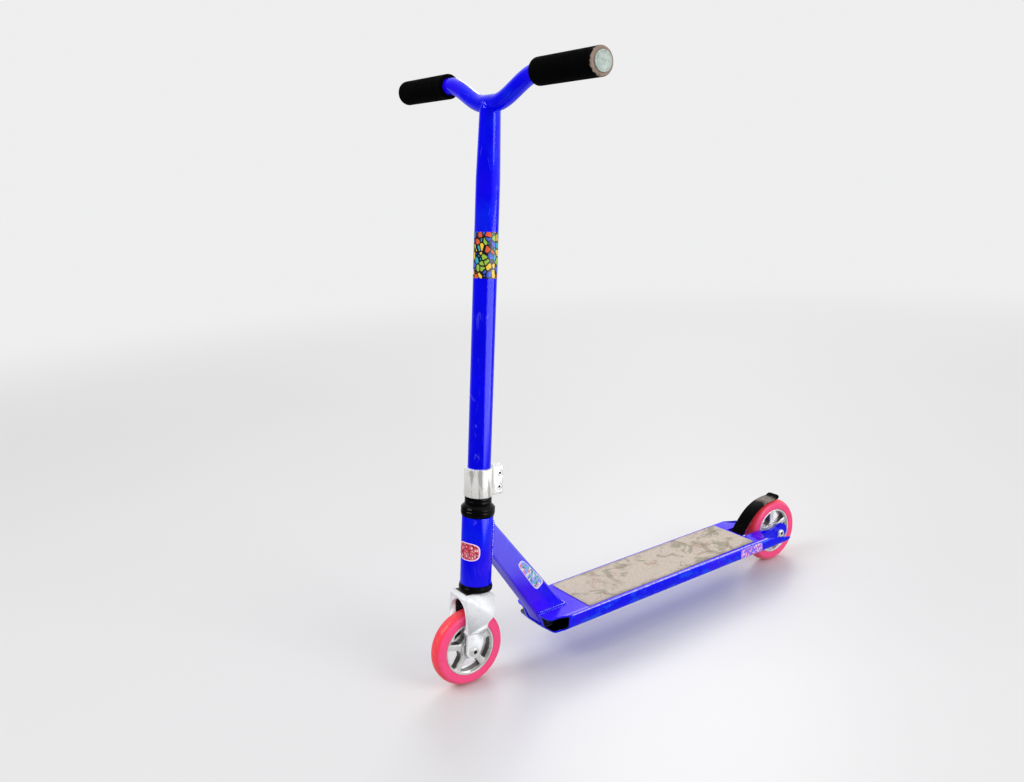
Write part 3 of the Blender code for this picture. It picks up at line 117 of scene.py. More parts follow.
DECK_TOP = 0.0716
DECK_HALF = 0.0511
HEAD_TUBE_RADIUS = 0.0219
BAR_HEIGHT = 0.7659
BAR_HALF = 0.2175
GAP = 0.0003


# Surfaces

@dataclass
class Surface:
    """Points and faces of one surface, with a texture place for each point if it has one.

    faces holds one array for each number of corners, a row to a face.
    """

    points: Array
    faces: List[Array]
    places: Optional[Array] = None

    def placed(self, axes: Axes) -> "Surface":
        """Return the surface moved from a local frame into the scooter's."""
        return replace(self, points=axes.place(self.points))

    def outward(self) -> "Surface":
        """Return the surface with its faces turned outwards.

        Six times the signed volume is the sum over fan triangles of a . (b x c); where it
        is negative, every face is reversed.
        """
        volume = 0.0
        for block in self.faces:
            corners = self.points[block]
            for turn in range(1, block.shape[1] - 1):
                wedge = np.cross(corners[:, turn], corners[:, turn + 1])
                volume += float(np.einsum("ij,ij->", corners[:, 0], wedge))
        if volume >= 0.0:
            return self
        return replace(self, faces=[block[:, ::-1] for block in self.faces])


def grid_surface(grid: Array, loop: bool = False, seam: bool = True, caps: bool = False,
                 places: Optional[Array] = None) -> Surface:
    """Return the surface of quads through a grid of points.

    Args:
        grid: points as (rows, columns, 3).
        loop: whether the last row joins the first.
        seam: whether the last column joins the first.
        caps: whether the first and last rows are closed with one face each.
        places: texture places as (rows, columns, 2).

    Returns:
        The surface; each quad joins a point to its neighbours in the next row and column.
    """
    rows, columns = grid.shape[:2]
    index = np.arange(rows * columns).reshape(rows, columns)
    if loop:
        index = np.vstack([index, index[:1]])
    if seam:
        index = np.hstack([index, index[:, :1]])
    quads = np.stack([index[:-1, :-1], index[:-1, 1:], index[1:, 1:], index[1:, :-1]], axis=-1)
    faces = [quads.reshape(-1, 4)]
    if caps:
        ring = np.arange(columns)
        faces += [ring[None, ::-1], (ring + (rows - 1) * columns)[None, :]]
    flat = None if places is None else places.reshape(-1, 2)
    return Surface(grid.reshape(-1, 3), faces, flat)


def turns(steps: int) -> Array:
    """Return even turns round a circle, from 0 up to one step short of a whole one."""
    return np.linspace(0.0, 2 * np.pi, steps, endpoint=False)


def polar(radius: Array, turn: Array, height: Union[Array, float]) -> Array:
    """Return the points (r cos t, r sin t, h); each input spreads over the others' axes."""
    return np.stack(np.broadcast_arrays(radius * np.cos(turn), radius * np.sin(turn), height),
                    axis=-1)


def travel_along(path: Array) -> Array:
    """Return a path's unit direction at each of its points."""
    travel = np.gradient(path, axis=0)
    return travel / np.linalg.norm(travel, axis=1, keepdims=True)


def run_along(line: Array) -> Array:
    """Return how far along a line each of its points lies."""
    return np.concatenate([[0.0], np.cumsum(np.linalg.norm(np.diff(line, axis=0), axis=1))])


def rounding(distance: Array, radius: float) -> Array:
    """Return how far a rounded corner lies inside its edge.

    Args:
        distance: how far along the edge each point is from its end.
        radius: the corner's radius r.

    Returns:
        r - sqrt(r^2 - (r - d)^2) up to the distance r, and 0 past it.
    """
    left = radius - np.clip(distance, 0.0, radius)
    return radius - np.sqrt(radius ** 2 - left ** 2)


def turned(profile: Array, sides: int = 96) -> Surface:
    """Return a profile spun round the local up direction.

    Args:
        profile: (radius, height) pairs; it closes on the axis where it ends there, and joins
            its last point to its first where it doesn't.
        sides: steps round the axis.

    Returns:
        The surface.
    """
    grid = polar(profile[:, :1], turns(sides), profile[:, 1:])
    closed = bool(np.all(profile[:, 0] > 1e-9))
    return grid_surface(grid, closed).outward()


def hexagonal(rows: Sequence[Point], sides: int = 72) -> Array:
    """Return a turned grid whose rows may be round, hexagonal or between the two.

    Args:
        rows: (radius, share, height); share 0 is a circle and share 1 a hexagon whose half
            width across flats is the radius.
        sides: steps round the axis, a multiple of 6.

    Returns:
        The grid; a hexagon's radius is its half width over the cosine of the turn from the
        middle of the nearest flat.
    """
    table = np.array(rows)
    turn = turns(sides)
    nearest = np.mod(turn + np.pi / 6, np.pi / 3) - np.pi / 6
    stretch = 1.0 + table[:, 1:2] * (1.0 / np.cos(nearest) - 1.0)
    return polar(table[:, :1] * stretch, turn, table[:, 2:])


def swept(path: Array, section: Array, sideways: Point, closed: bool = False,
          places: Optional[Array] = None) -> Surface:
    """Carry a closed section along a path.

    Args:
        path: points as (n, 3).
        section: (across, out) pairs as (n, k, 2).
        sideways: the direction of across; out is square to it and to the path.
        closed: whether the path joins its end to its start.
        places: texture places as (n, k, 2).

    Returns:
        The points path + across * sideways + out * (sideways x travel).
    """
    if closed:
        travel = np.roll(path, -1, axis=0) - np.roll(path, 1, axis=0)
    else:
        travel = travel_along(path)
    across = np.array(sideways) * np.ones((len(path), 1))
    out = np.cross(across, travel)
    out /= np.linalg.norm(out, axis=1, keepdims=True)
    grid = (path[:, None, :] + section[..., :1] * across[:, None, :]
            + section[..., 1:] * out[:, None, :])
    return grid_surface(grid, closed, caps=not closed, places=places).outward()


def filleted(corners: Sequence[Tuple[float, float]], radii: Union[float, Sequence[float]],
             steps: int = 5, closed: bool = True) -> Array:
    """Round the corners of an outline.

    Args:
        corners: (a, b) pairs.
        radii: one radius, or one for each corner; 0 keeps a corner sharp.
        steps: segments on each arc.
        closed: whether the last corner joins the first; otherwise both ends stay as they are.

    Returns:
        The rounded outline. Each arc is tangent to both edges: its centre lies on the corner's
        bisector, at the reach over the cosine of half the corner's angle.
    """
    points = np.array(corners, float)
    radius = np.broadcast_to(np.array(radii, float), (len(points),)).copy()
    if not closed:
        radius[[0, -1]] = 0.0
    before = np.roll(points, 1, axis=0) - points
    after = np.roll(points, -1, axis=0) - points
    length = np.stack([np.linalg.norm(before, axis=1), np.linalg.norm(after, axis=1)])
    before /= np.maximum(length[0], 1e-12)[:, None]
    after /= np.maximum(length[1], 1e-12)[:, None]
    half = np.arccos(np.clip((before * after).sum(axis=1), -1.0, 1.0)) / 2
    reach = np.minimum(radius / np.tan(np.maximum(half, 1e-6)), 0.49 * length.min(axis=0))
    middle = before + after
    middle /= np.maximum(np.linalg.norm(middle, axis=1), 1e-12)[:, None]
    centre = points + middle * (reach / np.maximum(np.cos(half), 1e-6))[:, None]
    spoke = points + before * reach[:, None] - centre
    way = np.where(before[:, 0] * after[:, 1] - before[:, 1] * after[:, 0] < 0.0, 1.0, -1.0)
    turn = (way * (np.pi - 2 * half))[:, None] * np.linspace(0.0, 1.0, steps + 1)
    arcs = np.stack([
        centre[:, None, 0] + spoke[:, None, 0] * np.cos(turn) - spoke[:, None, 1] * np.sin(turn),
        centre[:, None, 1] + spoke[:, None, 0] * np.sin(turn) + spoke[:, None, 1] * np.cos(turn),
    ], axis=-1)
    sharp = reach < 1e-7
    arcs[sharp] = points[sharp][:, None, :]
    flat = arcs.reshape(-1, 2)
    keep = np.ones(len(flat), bool)
    keep[1:] = np.linalg.norm(np.diff(flat, axis=0), axis=1) > 1e-7
    return flat[keep]


def softened(line: Array, step: float, window: float, closed: bool = False) -> Array:
    """Resample a line evenly and average it over a sliding window, which rounds its corners.

    Args:
        line: points as (n, d).
        step: spacing of the new points.
        window: length of line that is averaged for each of them.
        closed: whether the last point joins the first.

    Returns:
        The rounded line; the ends of an open one stay where they are.
    """
    if closed:
        line = np.vstack([line, line[:1]])
    run = run_along(line)
    at = np.linspace(0.0, run[-1], max(int(round(run[-1] / step)), 8) + 1)
    even = np.stack([np.interp(at, run, column) for column in line.T], axis=1)
    half = max(int(round(window / step / 2)), 1)
    bell = np.hanning(2 * half + 3)[1:-1]
    bell /= bell.sum()
    if closed:
        even = even[:-1]
        padded = np.concatenate([even[-half:], even, even[:half]])
    else:
        head = 2 * even[:1] - even[half:0:-1]
        tail = 2 * even[-1:] - even[-2:-half - 2:-1]
        padded = np.concatenate([head, even, tail])
    return np.stack([np.convolve(column, bell, "valid") for column in padded.T], axis=1)


def weld_bead(path: Array, radius: float, pitch: float, sideways: Point,
              closed: bool = True) -> Surface:
    """Return a weld bead: a tube whose radius ripples like a row of overlapping coins.

    Args:
        path: points along the seam.
        radius: mean radius.
        pitch: distance from one ripple to the next.
        sideways: a direction never along the path.
        closed: whether the seam runs all the way round.

    Returns:
        The tube; its radius is the mean times 0.90 + 0.16 sqrt|sin(pi s / pitch)|, where s is
        the run along the seam. An open seam's ends are round: there the radius also follows
        a quarter circle over the last 1.5 radii. The texture places are s / pitch and the
        share of a turn round the tube.
    """
    sides = 14
    even = softened(path, pitch / 6, pitch * 3, closed)
    run = np.arange(len(even)) * pitch / 6
    ripple = 0.90 + 0.16 * np.sqrt(np.abs(np.sin(np.pi * run / pitch)))
    if not closed:
        to_end = np.minimum(run, run[-1] - run) / (1.5 * radius)
        ripple *= np.sqrt(np.clip(1 - (1 - np.minimum(to_end, 1.0)) ** 2, 0.01, 1.0))
    turn = turns(sides)
    circle = radius * np.stack([np.cos(turn), np.sin(turn)], axis=1)
    around = np.linspace(0.0, 1.0, sides, endpoint=False)
    places = np.stack(np.meshgrid(run / pitch, around, indexing="ij"), axis=-1)
    return swept(even, circle[None] * ripple[:, None, None], sideways, closed, places)


# Shader maths

def maths(operation: str, reflected: bool = False) -> Callable[..., "Signal"]:
    """Return a method that joins a signal and another value in a Math node."""
    def method(self: "Signal", other: "Value" = 0.0) -> "Signal":
        """Return the node's result."""
        first, second = (other, self) if reflected else (self, other)
        return self.graph.node("ShaderNodeMath", {"operation": operation},
                               {0: first, 1: second})
    return method


class Signal:
    """A node's output that takes part in arithmetic and feeds textures."""

    __add__ = maths("ADD")
    __radd__ = maths("ADD", True)
    __sub__ = maths("SUBTRACT")
    __rsub__ = maths("SUBTRACT", True)
    __mul__ = maths("MULTIPLY")
    __rmul__ = maths("MULTIPLY", True)
    __truediv__ = maths("DIVIDE")
    __rtruediv__ = maths("DIVIDE", True)
    __pow__ = maths("POWER")
    __abs__ = maths("ABSOLUTE")
    most = maths("MAXIMUM")
    sine = maths("SINE")

    def __init__(self, graph: "Graph", socket: bpy.types.NodeSocket) -> None:
        """Wrap one output socket."""
        self.graph = graph
        self.socket = socket

    def ramp(self, low: float, high: float, least: float = 0.0) -> "Signal":
        """Return least below low, 1 above high, a smooth step between; low may be greater."""
        return self.graph.node("ShaderNodeMapRange", {"interpolation_type": "SMOOTHSTEP"},
                               {0: self, 1: low, 2: high, 3: least, 4: 1.0})

    def parts(self) -> Tuple["Signal", "Signal", "Signal"]:
        """Return the three coordinates."""
        split = self.graph.node("ShaderNodeSeparateXYZ", None, {0: self}).socket.node
        return tuple(Signal(self.graph, output) for output in split.outputs)

    def mapped(self, scale: Point, turn: Point = (0.0, 0.0, 0.0)) -> "Signal":
        """Return coordinates that are scaled and turned."""
        return self.graph.node("ShaderNodeMapping", None,
                               {0: self, "Scale": scale, "Rotation": turn})

    def vector(self, operation: str, other: Point = (0.0, 0.0, 0.0)) -> "Signal":
        """Return a Vector Math node's value, such as a length or a dot product."""
        return self.graph.node("ShaderNodeVectorMath", {"operation": operation},
                               {0: self, 1: other}, 1)

    def noise(self, scale: Union[float, Point], detail: float = 2.0, roughness: float = 0.5,
              distortion: float = 0.0) -> "Signal":
        """Return soft noise between 0 and 1; three scales draw it out."""
        place, scale = (self.mapped(scale), 1.0) if isinstance(scale, tuple) else (self, scale)
        return self.graph.node("ShaderNodeTexNoise", None,
                               {"Vector": place, "Scale": scale, "Detail": detail,
                                "Roughness": roughness, "Distortion": distortion})

    def cells(self, scale: float, feature: str = "F1",
              output: Union[int, str] = 0) -> "Signal":
        """Return a cell pattern: distance, colour or distance to the edge."""
        return self.graph.node("ShaderNodeTexVoronoi", {"feature": feature},
                               {"Vector": self, "Scale": scale}, output)

    def scratches(self, scale: float, width: float) -> "Signal":
        """Return 1 on thin broken lines, the contours of noise drawn out two ways."""
        stretch = (scale * 0.08, scale, scale * 0.14)
        lines = [abs(self.mapped(stretch, turn).noise(1.0, 1.0) - 0.5).ramp(width, 0.0)
                 for turn in ((0.3, 0.2, 0.6), (1.0, -0.5, -0.8))]
        return lines[0].most(lines[1]) * self.noise(scale * 0.6).ramp(0.56, 0.64)


Value = Union[float, Sequence[float], Signal]
Layer = Tuple[Value, Colour]


class Graph:
    """The node tree of a material or of the world."""

    def __init__(self, owner: Union[bpy.types.Material, bpy.types.World]) -> None:
        """Start the tree."""
        owner.use_nodes = True
        self.owner = owner
        self.tree = owner.node_tree
        self.shader = self.tree.nodes.get("Principled BSDF")

    def put(self, socket: bpy.types.NodeSocket, value: Value) -> None:
        """Link or set one input."""
        if isinstance(value, Signal):
            self.tree.links.new(value.socket, socket)
        else:
            socket.default_value = value

    def node(self, kind: str, settings: Optional[Mapping[str, object]] = None,
             inputs: Optional[Mapping[Union[int, str], Value]] = None,
             output: Union[int, str] = 0) -> Signal:
        """Add a node.

        Args:
            kind: the node's type.
            settings: attributes that are set first; stops holds the (place, colour) pairs
                of a ramp that goes in steps.
            inputs: values or signals by socket name or number.
            output: the output to return.

        Returns:
            The chosen output.
        """
        made = self.tree.nodes.new(kind)
        for key, value in (settings or {}).items():
            if key == "stops":
                self._stops(made.color_ramp, value)
            else:
                setattr(made, key, value)
        for key, value in (inputs or {}).items():
            self.put(made.inputs[key], value)
        return Signal(self, made.outputs[output])

    @staticmethod
    def _stops(ramp: bpy.types.ColorRamp, stops: Sequence[Tuple[float, Colour]]) -> None:
        """Write a colour ramp's stops."""
        ramp.interpolation = "CONSTANT"
        while len(ramp.elements) < len(stops):
            ramp.elements.new(1.0)
        for element, (place, colour) in zip(ramp.elements, stops):
            element.position = place
            element.color = (*colour, 1.0)

    def place(self, kind: str = "Object") -> Signal:
        """Return the object coordinates, or others by their name."""
        return self.node("ShaderNodeTexCoord", output=kind)

    def layers(self, ground: Union[Colour, Signal], *layers: Layer) -> Signal:
        """Return a ground with layers of colour laid over it, each by its own share."""
        for share, colour in layers:
            base = ground if isinstance(ground, Signal) else (*ground, 1.0)
            ground = self.node("ShaderNodeMix", {"data_type": "RGBA"},
                               {0: share, 6: base, 7: (*colour, 1.0)}, 2)
        return ground

    def dress(self, colour: Signal, roughness: Value,
              relief: Optional[Tuple[Signal, float, float]] = None,
              **others: Value) -> bpy.types.Material:
        """Fill the shader's sockets.

        Args:
            colour: the base colour.
            roughness: the roughness.
            relief: a height with the strength and distance of its bump.
            others: values by socket name, with underscores for blanks.

        Returns:
            The material.
        """
        sockets = {name.replace("_", " "): value for name, value in others.items()}
        sockets.update({"Base Color": colour, "Roughness": roughness})
        if relief is not None:
            inputs = dict(zip(("Height", "Strength", "Distance"), relief))
            sockets["Normal"] = self.node("ShaderNodeBump", None, inputs)
        for name, value in sockets.items():
            self.put(self.shader.inputs[name], value)
        return self.owner


def screen(red: int, green: int, blue: int) -> Colour:
    """Return a colour given in 0 to 255 screen values as linear light.

    Each share s becomes s / 12.92 up to 0.04045 and ((s + 0.055) / 1.055) ^ 2.4 above.
    """
    share = np.array([red, green, blue]) / 255.0
    linear = np.where(share <= 0.04045, share / 12.92, ((share + 0.055) / 1.055) ** 2.4)
    return tuple(float(value) for value in linear)


# Finishes

@dataclass(frozen=True)
class Finish:
    """A surface finish and the record's slot it belongs to; each kind writes its material."""

    name: str
    slot: str

    def material(self) -> bpy.types.Material:
        """Return the material, made once."""
        found = bpy.data.materials.get(self.name)
        if found is not None:
            return found
        graph = Graph(bpy.data.materials.new(self.name))
        return self.write(graph, graph.place())

    def write(self, graph: Graph, spot: Signal) -> bpy.types.Material:
        """Write the material's nodes; spot holds the object coordinates."""
        raise NotImplementedError


@dataclass(frozen=True)
class GlossPaint(Finish):
    """Deep candy coat with a faint orange peel, dull rubbed spots and hairline scratches."""

    colour: Colour = screen(2, 0, 255)
    deep: Colour = screen(0, 0, 236)
    violet: Colour = screen(72, 8, 250)
    azure: Colour = screen(8, 74, 252)
    # Pale lilac for a painted reflection, used high on the neck.
    reflected_lilac: Colour = screen(118, 112, 252)
    hairline: Colour = screen(120, 120, 250)
    # Pale colour of chipped paint; the bead's and the deck's kinds also use it for painted highlights.
    chip_and_glint: Colour = screen(214, 212, 236)
    wear: float = 0.4

    def chips_and_glints(self, spot: Signal) -> Signal:
        """Return where the coat is chipped through."""
        return spot.noise(260.0, 3.0, 0.6).ramp(0.78, 0.80) * self.wear

    def tints(self, spot: Signal, broad: Signal) -> List[Layer]:
        """Return whatever tints the piece has; here none."""
        return []

    def write(self, graph: Graph, spot: Signal) -> bpy.types.Material:
        """Write the coat; its hue drifts in soft clouds."""
        broad = spot.noise(11.0, 3.0)
        rubbed = spot.noise(46.0, 4.0, 0.65).ramp(0.50, 0.72)
        lines = spot.scratches(95.0, 0.010)
        # Chipped paint in the pale colour; on beads and along the deck's edges it is also painted highlight.
        chips_and_glints = self.chips_and_glints(spot)
        clouds = [spot.noise(scale, 2.0, 0.5, 0.8).ramp(0.54, 0.72) * share
                  for scale, share in ((7.0, 0.45), (13.0, 0.18))]
        colour = graph.layers(self.deep, (broad.ramp(0.3, 0.7), self.colour),
                              (clouds[0], self.violet), (clouds[1], self.azure),
                              *self.tints(spot, broad),
                              (lines * 0.3, self.hairline), (chips_and_glints, self.chip_and_glint))
        relief = spot.noise(520.0, 1.0) * 0.25 - chips_and_glints * 1.5 - lines * 0.6
        return graph.dress(colour, 0.24 + rubbed * 0.14 + chips_and_glints * 0.2, (relief, 0.5, 0.00012),
                           Metallic=0.18 - chips_and_glints * 0.1, Specular_IOR_Level=0.04,
                           Coat_Weight=0.50 - chips_and_glints * 0.4, Coat_Roughness=0.05)


@dataclass(frozen=True)
class NeckPaint(GlossPaint):
    """The same coat on the neck: a painted lilac reflection near the head tube, and violet along the front."""

    fade: Tuple[float, float] = (0.120, 0.175)
    lean: float = 0.62
    front: Tuple[float, float] = (-0.126, -0.142)

    def tints(self, spot: Signal, broad: Signal) -> List[Layer]:
        """Return violet where y + lean z is low, and the painted lilac reflection where z is high."""
        along, height = spot.parts()[1:]
        drift = broad - 0.5
        near = (along + height * self.lean + drift * 0.016).ramp(*self.front)
        # Painted lilac reflection high up, near the head tube.
        high = (height + drift * 0.06).ramp(*self.fade)
        return [(near * 0.75, self.violet), (high * 0.75, self.reflected_lilac)]


@dataclass(frozen=True)
class BeadPaint(GlossPaint):
    """The same coat on a weld bead, with white dots on the ripples along both toes: painted glints that also stand
    for rubbed paint.

    The texture places are the ripples' count along the seam and the turn round the bead.
    """

    toes: Tuple[float, float] = (0.02, 0.27)
    toe_half: float = 0.055

    def chips_and_glints(self, spot: Signal) -> Signal:
        """Return the white dots: painted glints on the ripples' crests, also standing for rubbed paint."""
        count, turn = spot.graph.place("UV").parts()[:2]
        # White painted glints on the ripples' crests along both toes.
        crest = abs((count * math.pi).sine()).ramp(0.55, 0.92)
        rows = [abs(turn - toe).ramp(self.toe_half, self.toe_half * 0.4) for toe in self.toes]
        return crest * rows[0].most(rows[1]) * spot.noise(420.0).ramp(0.34, 0.50)


@dataclass(frozen=True)
class DeckPaint(GlossPaint):
    """The same coat on the deck: rubbed bare along its edges under painted highlight lines, with a painted violet
    sheen on top and painted black shade in its hollows.
    """

    half_width: float = DECK_HALF
    top: float = DECK_TOP
    bottom: float = 0.0489
    plate: float = 0.0030
    rib_face: float = 0.0240
    wall_face: float = 0.0481
    hollow_end: float = 0.2520
    # Black for painted shade inside the hollows.
    hollow_shade: Colour = (0.0, 0.0, 0.0)

    def chips_and_glints(self, spot: Signal) -> Signal:
        """Return where the coat is chipped; along the long top and bottom edges this is also a painted highlight
        line.
        """
        across, height = spot.parts()[::2]
        side = abs(abs(across) - self.half_width)
        ragged = spot.noise(150.0, 4.0, 0.7) * 0.0012
        dashes = spot.noise((60.0, 190.0, 60.0)).ramp(0.36, 0.48)
        # A painted highlight line along the top edge over real edge wear, and a fainter one along the bottom edge.
        upper = side + abs(height - self.top) + ragged
        edge = upper.ramp(0.0024, 0.0016) * (0.25 + dashes * 0.75)
        lower = (side * 0.35).most(abs(height - self.bottom)) + ragged
        under = lower.ramp(0.0020, 0.0013) * (0.35 + dashes * 0.5)
        return super().chips_and_glints(spot).most(edge).most(under)

    def tints(self, spot: Signal, broad: Signal) -> List[Layer]:
        """Return a painted violet sheen on top, azure in patches down the sides and painted black shade in the
        hollows.
        """
        across, along, height = spot.parts()
        # Painted violet sheen on the top face.
        above = height.ramp(self.top - 0.0010, self.top - 0.0002)
        patches = spot.noise((20.0, 26.0, 60.0), 3.0, 0.6).ramp(0.50, 0.64)
        sides = abs(across).ramp(self.half_width - 0.0020, self.half_width - 0.0008)
        within = (abs(across).ramp(self.rib_face - 0.0005, self.rib_face - 0.0001)
                  * abs(across).ramp(self.wall_face + 0.0005, self.wall_face + 0.0001))
        middle = (self.top + self.bottom) / 2
        half = (self.top - self.bottom) / 2 - self.plate
        # Painted black shade inside the hollows.
        inside = (within * abs(height - middle).ramp(half + 0.0005, half + 0.0001)
                  * along.ramp(self.hollow_end, self.hollow_end - 0.0010))
        return [(above * (0.35 + broad * 0.5), self.violet),
                (sides * patches * 0.8, self.azure), (inside, self.hollow_shade)]


class Grain(Enum):
    """How a bare metal was worked."""

    TURNED = (900.0, 900.0, 60.0)
    DRAWN = (1400.0, 70.0, 1400.0)
    FORGED = (420.0, 420.0, 420.0)


@dataclass(frozen=True)
class BareMetal(Finish):
    """Bare or plated metal with tool marks, handling dirt and dings; its dark colour is painted shade in recesses,
    and in some kinds dark reflections and bruises too.
    """

    colour: Colour
    shade: Colour
    roughness: float
    grain: Grain = Grain.FORGED
    dirt: float = 0.5
    metallic: float = 0.8
    dark: Colour = screen(44, 38, 36)

    def shadowed(self, spot: Signal) -> Signal:
        """Return painted shade: in the sockets, whose first texture place is 1."""
        return spot.graph.place("UV").parts()[0].ramp(0.4, 0.9)

    def write(self, graph: Graph, spot: Signal) -> bpy.types.Material:
        """Write the metal."""
        marks = spot.noise(self.grain.value, 3.0, 0.6)
        broad = spot.noise(38.0, 4.0, 0.6)
        grime = spot.noise(120.0, 4.0, 0.7).ramp(0.52, 0.74) * self.dirt
        lines = spot.scratches(180.0, 0.012)
        # The dark colour is painted shade, and in some kinds also dark reflections and bruises.
        colour = graph.layers(self.colour,
                              (broad.ramp(0.35, 0.75) * 0.35 + grime * 0.45, self.shade),
                              (self.shadowed(spot), self.dark))
        roughness = self.roughness + broad * 0.14 + grime * 0.2 - lines * 0.08
        relief = marks * 0.6 - lines + broad * 0.8
        return graph.dress(colour, roughness, (relief, 0.45, 0.00010), Metallic=self.metallic)


@dataclass(frozen=True)
class ForgedFork(BareMetal):
    """The fork's alloy, with painted shade in the slot between its legs, and bruised on its faces."""

    slot_half: float = 0.0149
    axis_back: float = -0.3100
    mouth: float = -0.0225
    rear: float = 0.0190

    def shadowed(self, spot: Signal) -> Signal:
        """Return painted shade on the slot's walls inside the mouth, and a sprinkling of small bruises."""
        across, along, height = spot.parts()
        back = along * LEAN_COS - height * LEAN_SIN - self.axis_back
        # Painted shade inside the slot's mouth.
        walls = (abs(across).ramp(self.slot_half + 0.0006, self.slot_half)
                 * back.ramp(self.mouth - 0.0020, self.mouth)
                 * back.ramp(self.rear, self.rear - 0.0010))
        return walls.most(spot.noise(230.0, 3.0, 0.6).ramp(0.66, 0.72) * 0.35)


@dataclass(frozen=True)
class ClampAlloy(BareMetal):
    """The clamp's alloy with long dark streaks down its barrel: painted dark reflections, laid out like drawn
    marks.
    """

    def shadowed(self, spot: Signal) -> Signal:
        """Return painted dark reflection streaks that run nearly along the steering axis."""
        return spot.noise((150.0, 150.0, 14.0), 3.0, 0.6).ramp(0.52, 0.62) * 0.5


@dataclass(frozen=True)
class CoreAlloy(BareMetal):
    """A wheel core's alloy: bright on its turned faces, with painted shade and dark reflections down in its
    windows.
    """

    def shadowed(self, spot: Signal) -> Signal:
        """Return painted shade on the windows' walls, with blotches."""
        blotches = spot.noise(110.0, 3.0, 0.6) - 0.5
        return (abs(spot.parts()[0]) + blotches * 0.004).ramp(0.0058, 0.0040) * 0.85


@dataclass(frozen=True)
class Anodised(Finish):
    """Glossy black anodised metal, greyed where it has been handled."""

    colour: Colour = screen(4, 4, 5)
    rubbed: Colour = screen(52, 52, 58)

    def write(self, graph: Graph, spot: Signal) -> bpy.types.Material:
        """Write the anodised surface."""
        haze = spot.noise(70.0, 4.0, 0.7).ramp(0.55, 0.85)
        lines = spot.scratches(160.0, 0.010)
        turning = spot.noise((500.0, 500.0, 2600.0))
        colour = graph.layers(self.colour, (haze * 0.3 + lines * 0.6, self.rubbed))
        return graph.dress(colour, 0.14 + haze * 0.2, (turning * 0.5 - lines, 0.4, 0.00006),
                           Specular_IOR_Level=0.13)


@dataclass(frozen=True)
class BrakeCoat(Finish):
    """Black coat on the brake strip, worn to grey-beige metal where the shoe presses."""

    colour: Colour = screen(3, 3, 3)
    worn: Colour = screen(142, 130, 124)
    start: float = 0.290
    stop: float = 0.3185

    def write(self, graph: Graph, spot: Signal) -> bpy.types.Material:
        """Write the coat; the worn band lies on the upper face between start and stop."""
        along, height = spot.parts()[1:]
        place = along + (spot.noise(130.0, 4.0, 0.7) - 0.5) * 0.026
        fine = spot.noise((900.0, 160.0, 160.0), 3.0, 0.7)
        band = (place.ramp(self.start, self.start + 0.009)
                * place.ramp(self.stop + 0.004, self.stop - 0.002)
                * height.ramp(0.086, 0.098))
        worn = band * (0.35 + fine.ramp(0.36, 0.56) * 0.65)
        specks = spot.noise(420.0).ramp(0.72, 0.78) * 0.5
        return graph.dress(graph.layers(self.colour, (worn.most(specks), self.worn)),
                           0.42 + worn * 0.2 + fine * 0.08,
                           (spot.noise(900.0) - worn * 0.8, 0.4, 0.00012),
                           Metallic=worn * 0.35, Specular_IOR_Level=0.03)


@dataclass(frozen=True)
class GripRubber(Finish):
    """Matte black rubber, its outer rims scuffed to grey-beige."""

    colour: Colour = screen(5, 4, 4)
    dusty: Colour = screen(60, 58, 56)
    scuffed: Colour = screen(158, 140, 126)
    rim: float = 0.2150

    def write(self, graph: Graph, spot: Signal) -> bpy.types.Material:
        """Write the rubber; the scuff grows past the rim's distance from the middle."""
        ragged = spot.noise(240.0, 4.0, 0.7)
        outward = abs(spot.parts()[0]) + (ragged - 0.5) * 0.0065
        scuff = outward.ramp(self.rim, self.rim + 0.0018)
        grain = spot.noise(1500.0)
        dust = spot.noise(60.0, 4.0, 0.7).ramp(0.5, 0.8)
        colour = graph.layers(self.colour, (dust * 0.03, self.dusty),
                              (scuff * (0.55 + ragged * 0.6), self.scuffed))
        return graph.dress(colour, 0.62 + grain * 0.15 + scuff * 0.2,
                           (grain + ragged * scuff * 2.0, 0.45, 0.00018),
                           Specular_IOR_Level=0.02)


@dataclass(frozen=True)
class MouldedPlastic(Finish):
    """Pale grey-green moulded plastic with mottled grime."""

    colour: Colour = screen(176, 190, 182)
    grime: Colour = screen(96, 104, 98)

    def write(self, graph: Graph, spot: Signal) -> bpy.types.Material:
        """Write the plastic."""
        mottled = spot.noise(190.0, 4.0, 0.65)
        lines = spot.scratches(240.0, 0.015)
        colour = graph.layers(self.colour,
                              (mottled.ramp(0.45, 0.75) * 0.6 + lines * 0.3, self.grime))
        return graph.dress(colour, 0.42 + mottled * 0.2, (mottled - lines, 0.35, 0.00020))


@dataclass(frozen=True)
class Urethane(Finish):
    """Cast urethane: pink on the flanks, coral on the tread, with a dusty running band."""

    centre: Point
    flank: Colour = screen(255, 72, 132)
    tread: Colour = screen(255, 56, 72)
    mottle: Colour = screen(226, 30, 84)
    dust: Colour = screen(224, 140, 140)

    def write(self, graph: Graph, spot: Signal) -> bpy.types.Material:
        """Write the urethane; radius is the distance from the axle in the wheel's plane."""
        across, along, height = spot.parts()
        back = along - self.centre[1]
        rise = height - self.centre[2]
        radius = (back * back + rise * rise) ** 0.5
        tread = abs(across).ramp(0.0108, 0.0085) * radius.ramp(0.0500, 0.0525)
        band = abs(across).ramp(0.0080, 0.0045) * radius.ramp(0.0530, 0.0540)
        mottled = spot.noise(75.0, 4.0, 0.6)
        scuffs = spot.scratches(210.0, 0.015)
        dusty = band * spot.noise(140.0, 4.0, 0.7).ramp(0.42, 0.75)
        colour = graph.layers(self.flank, (tread, self.tread),
                              (mottled.ramp(0.4, 0.8) * 0.22, self.mottle),
                              (dusty * 0.35 + scuffs * 0.2, self.dust))
        return graph.dress(colour, 0.34 + dusty * 0.3 + mottled * 0.08,
                           (mottled * 0.6 - scuffs + dusty * 0.4, 0.4, 0.00015),
                           Coat_Weight=0.12)


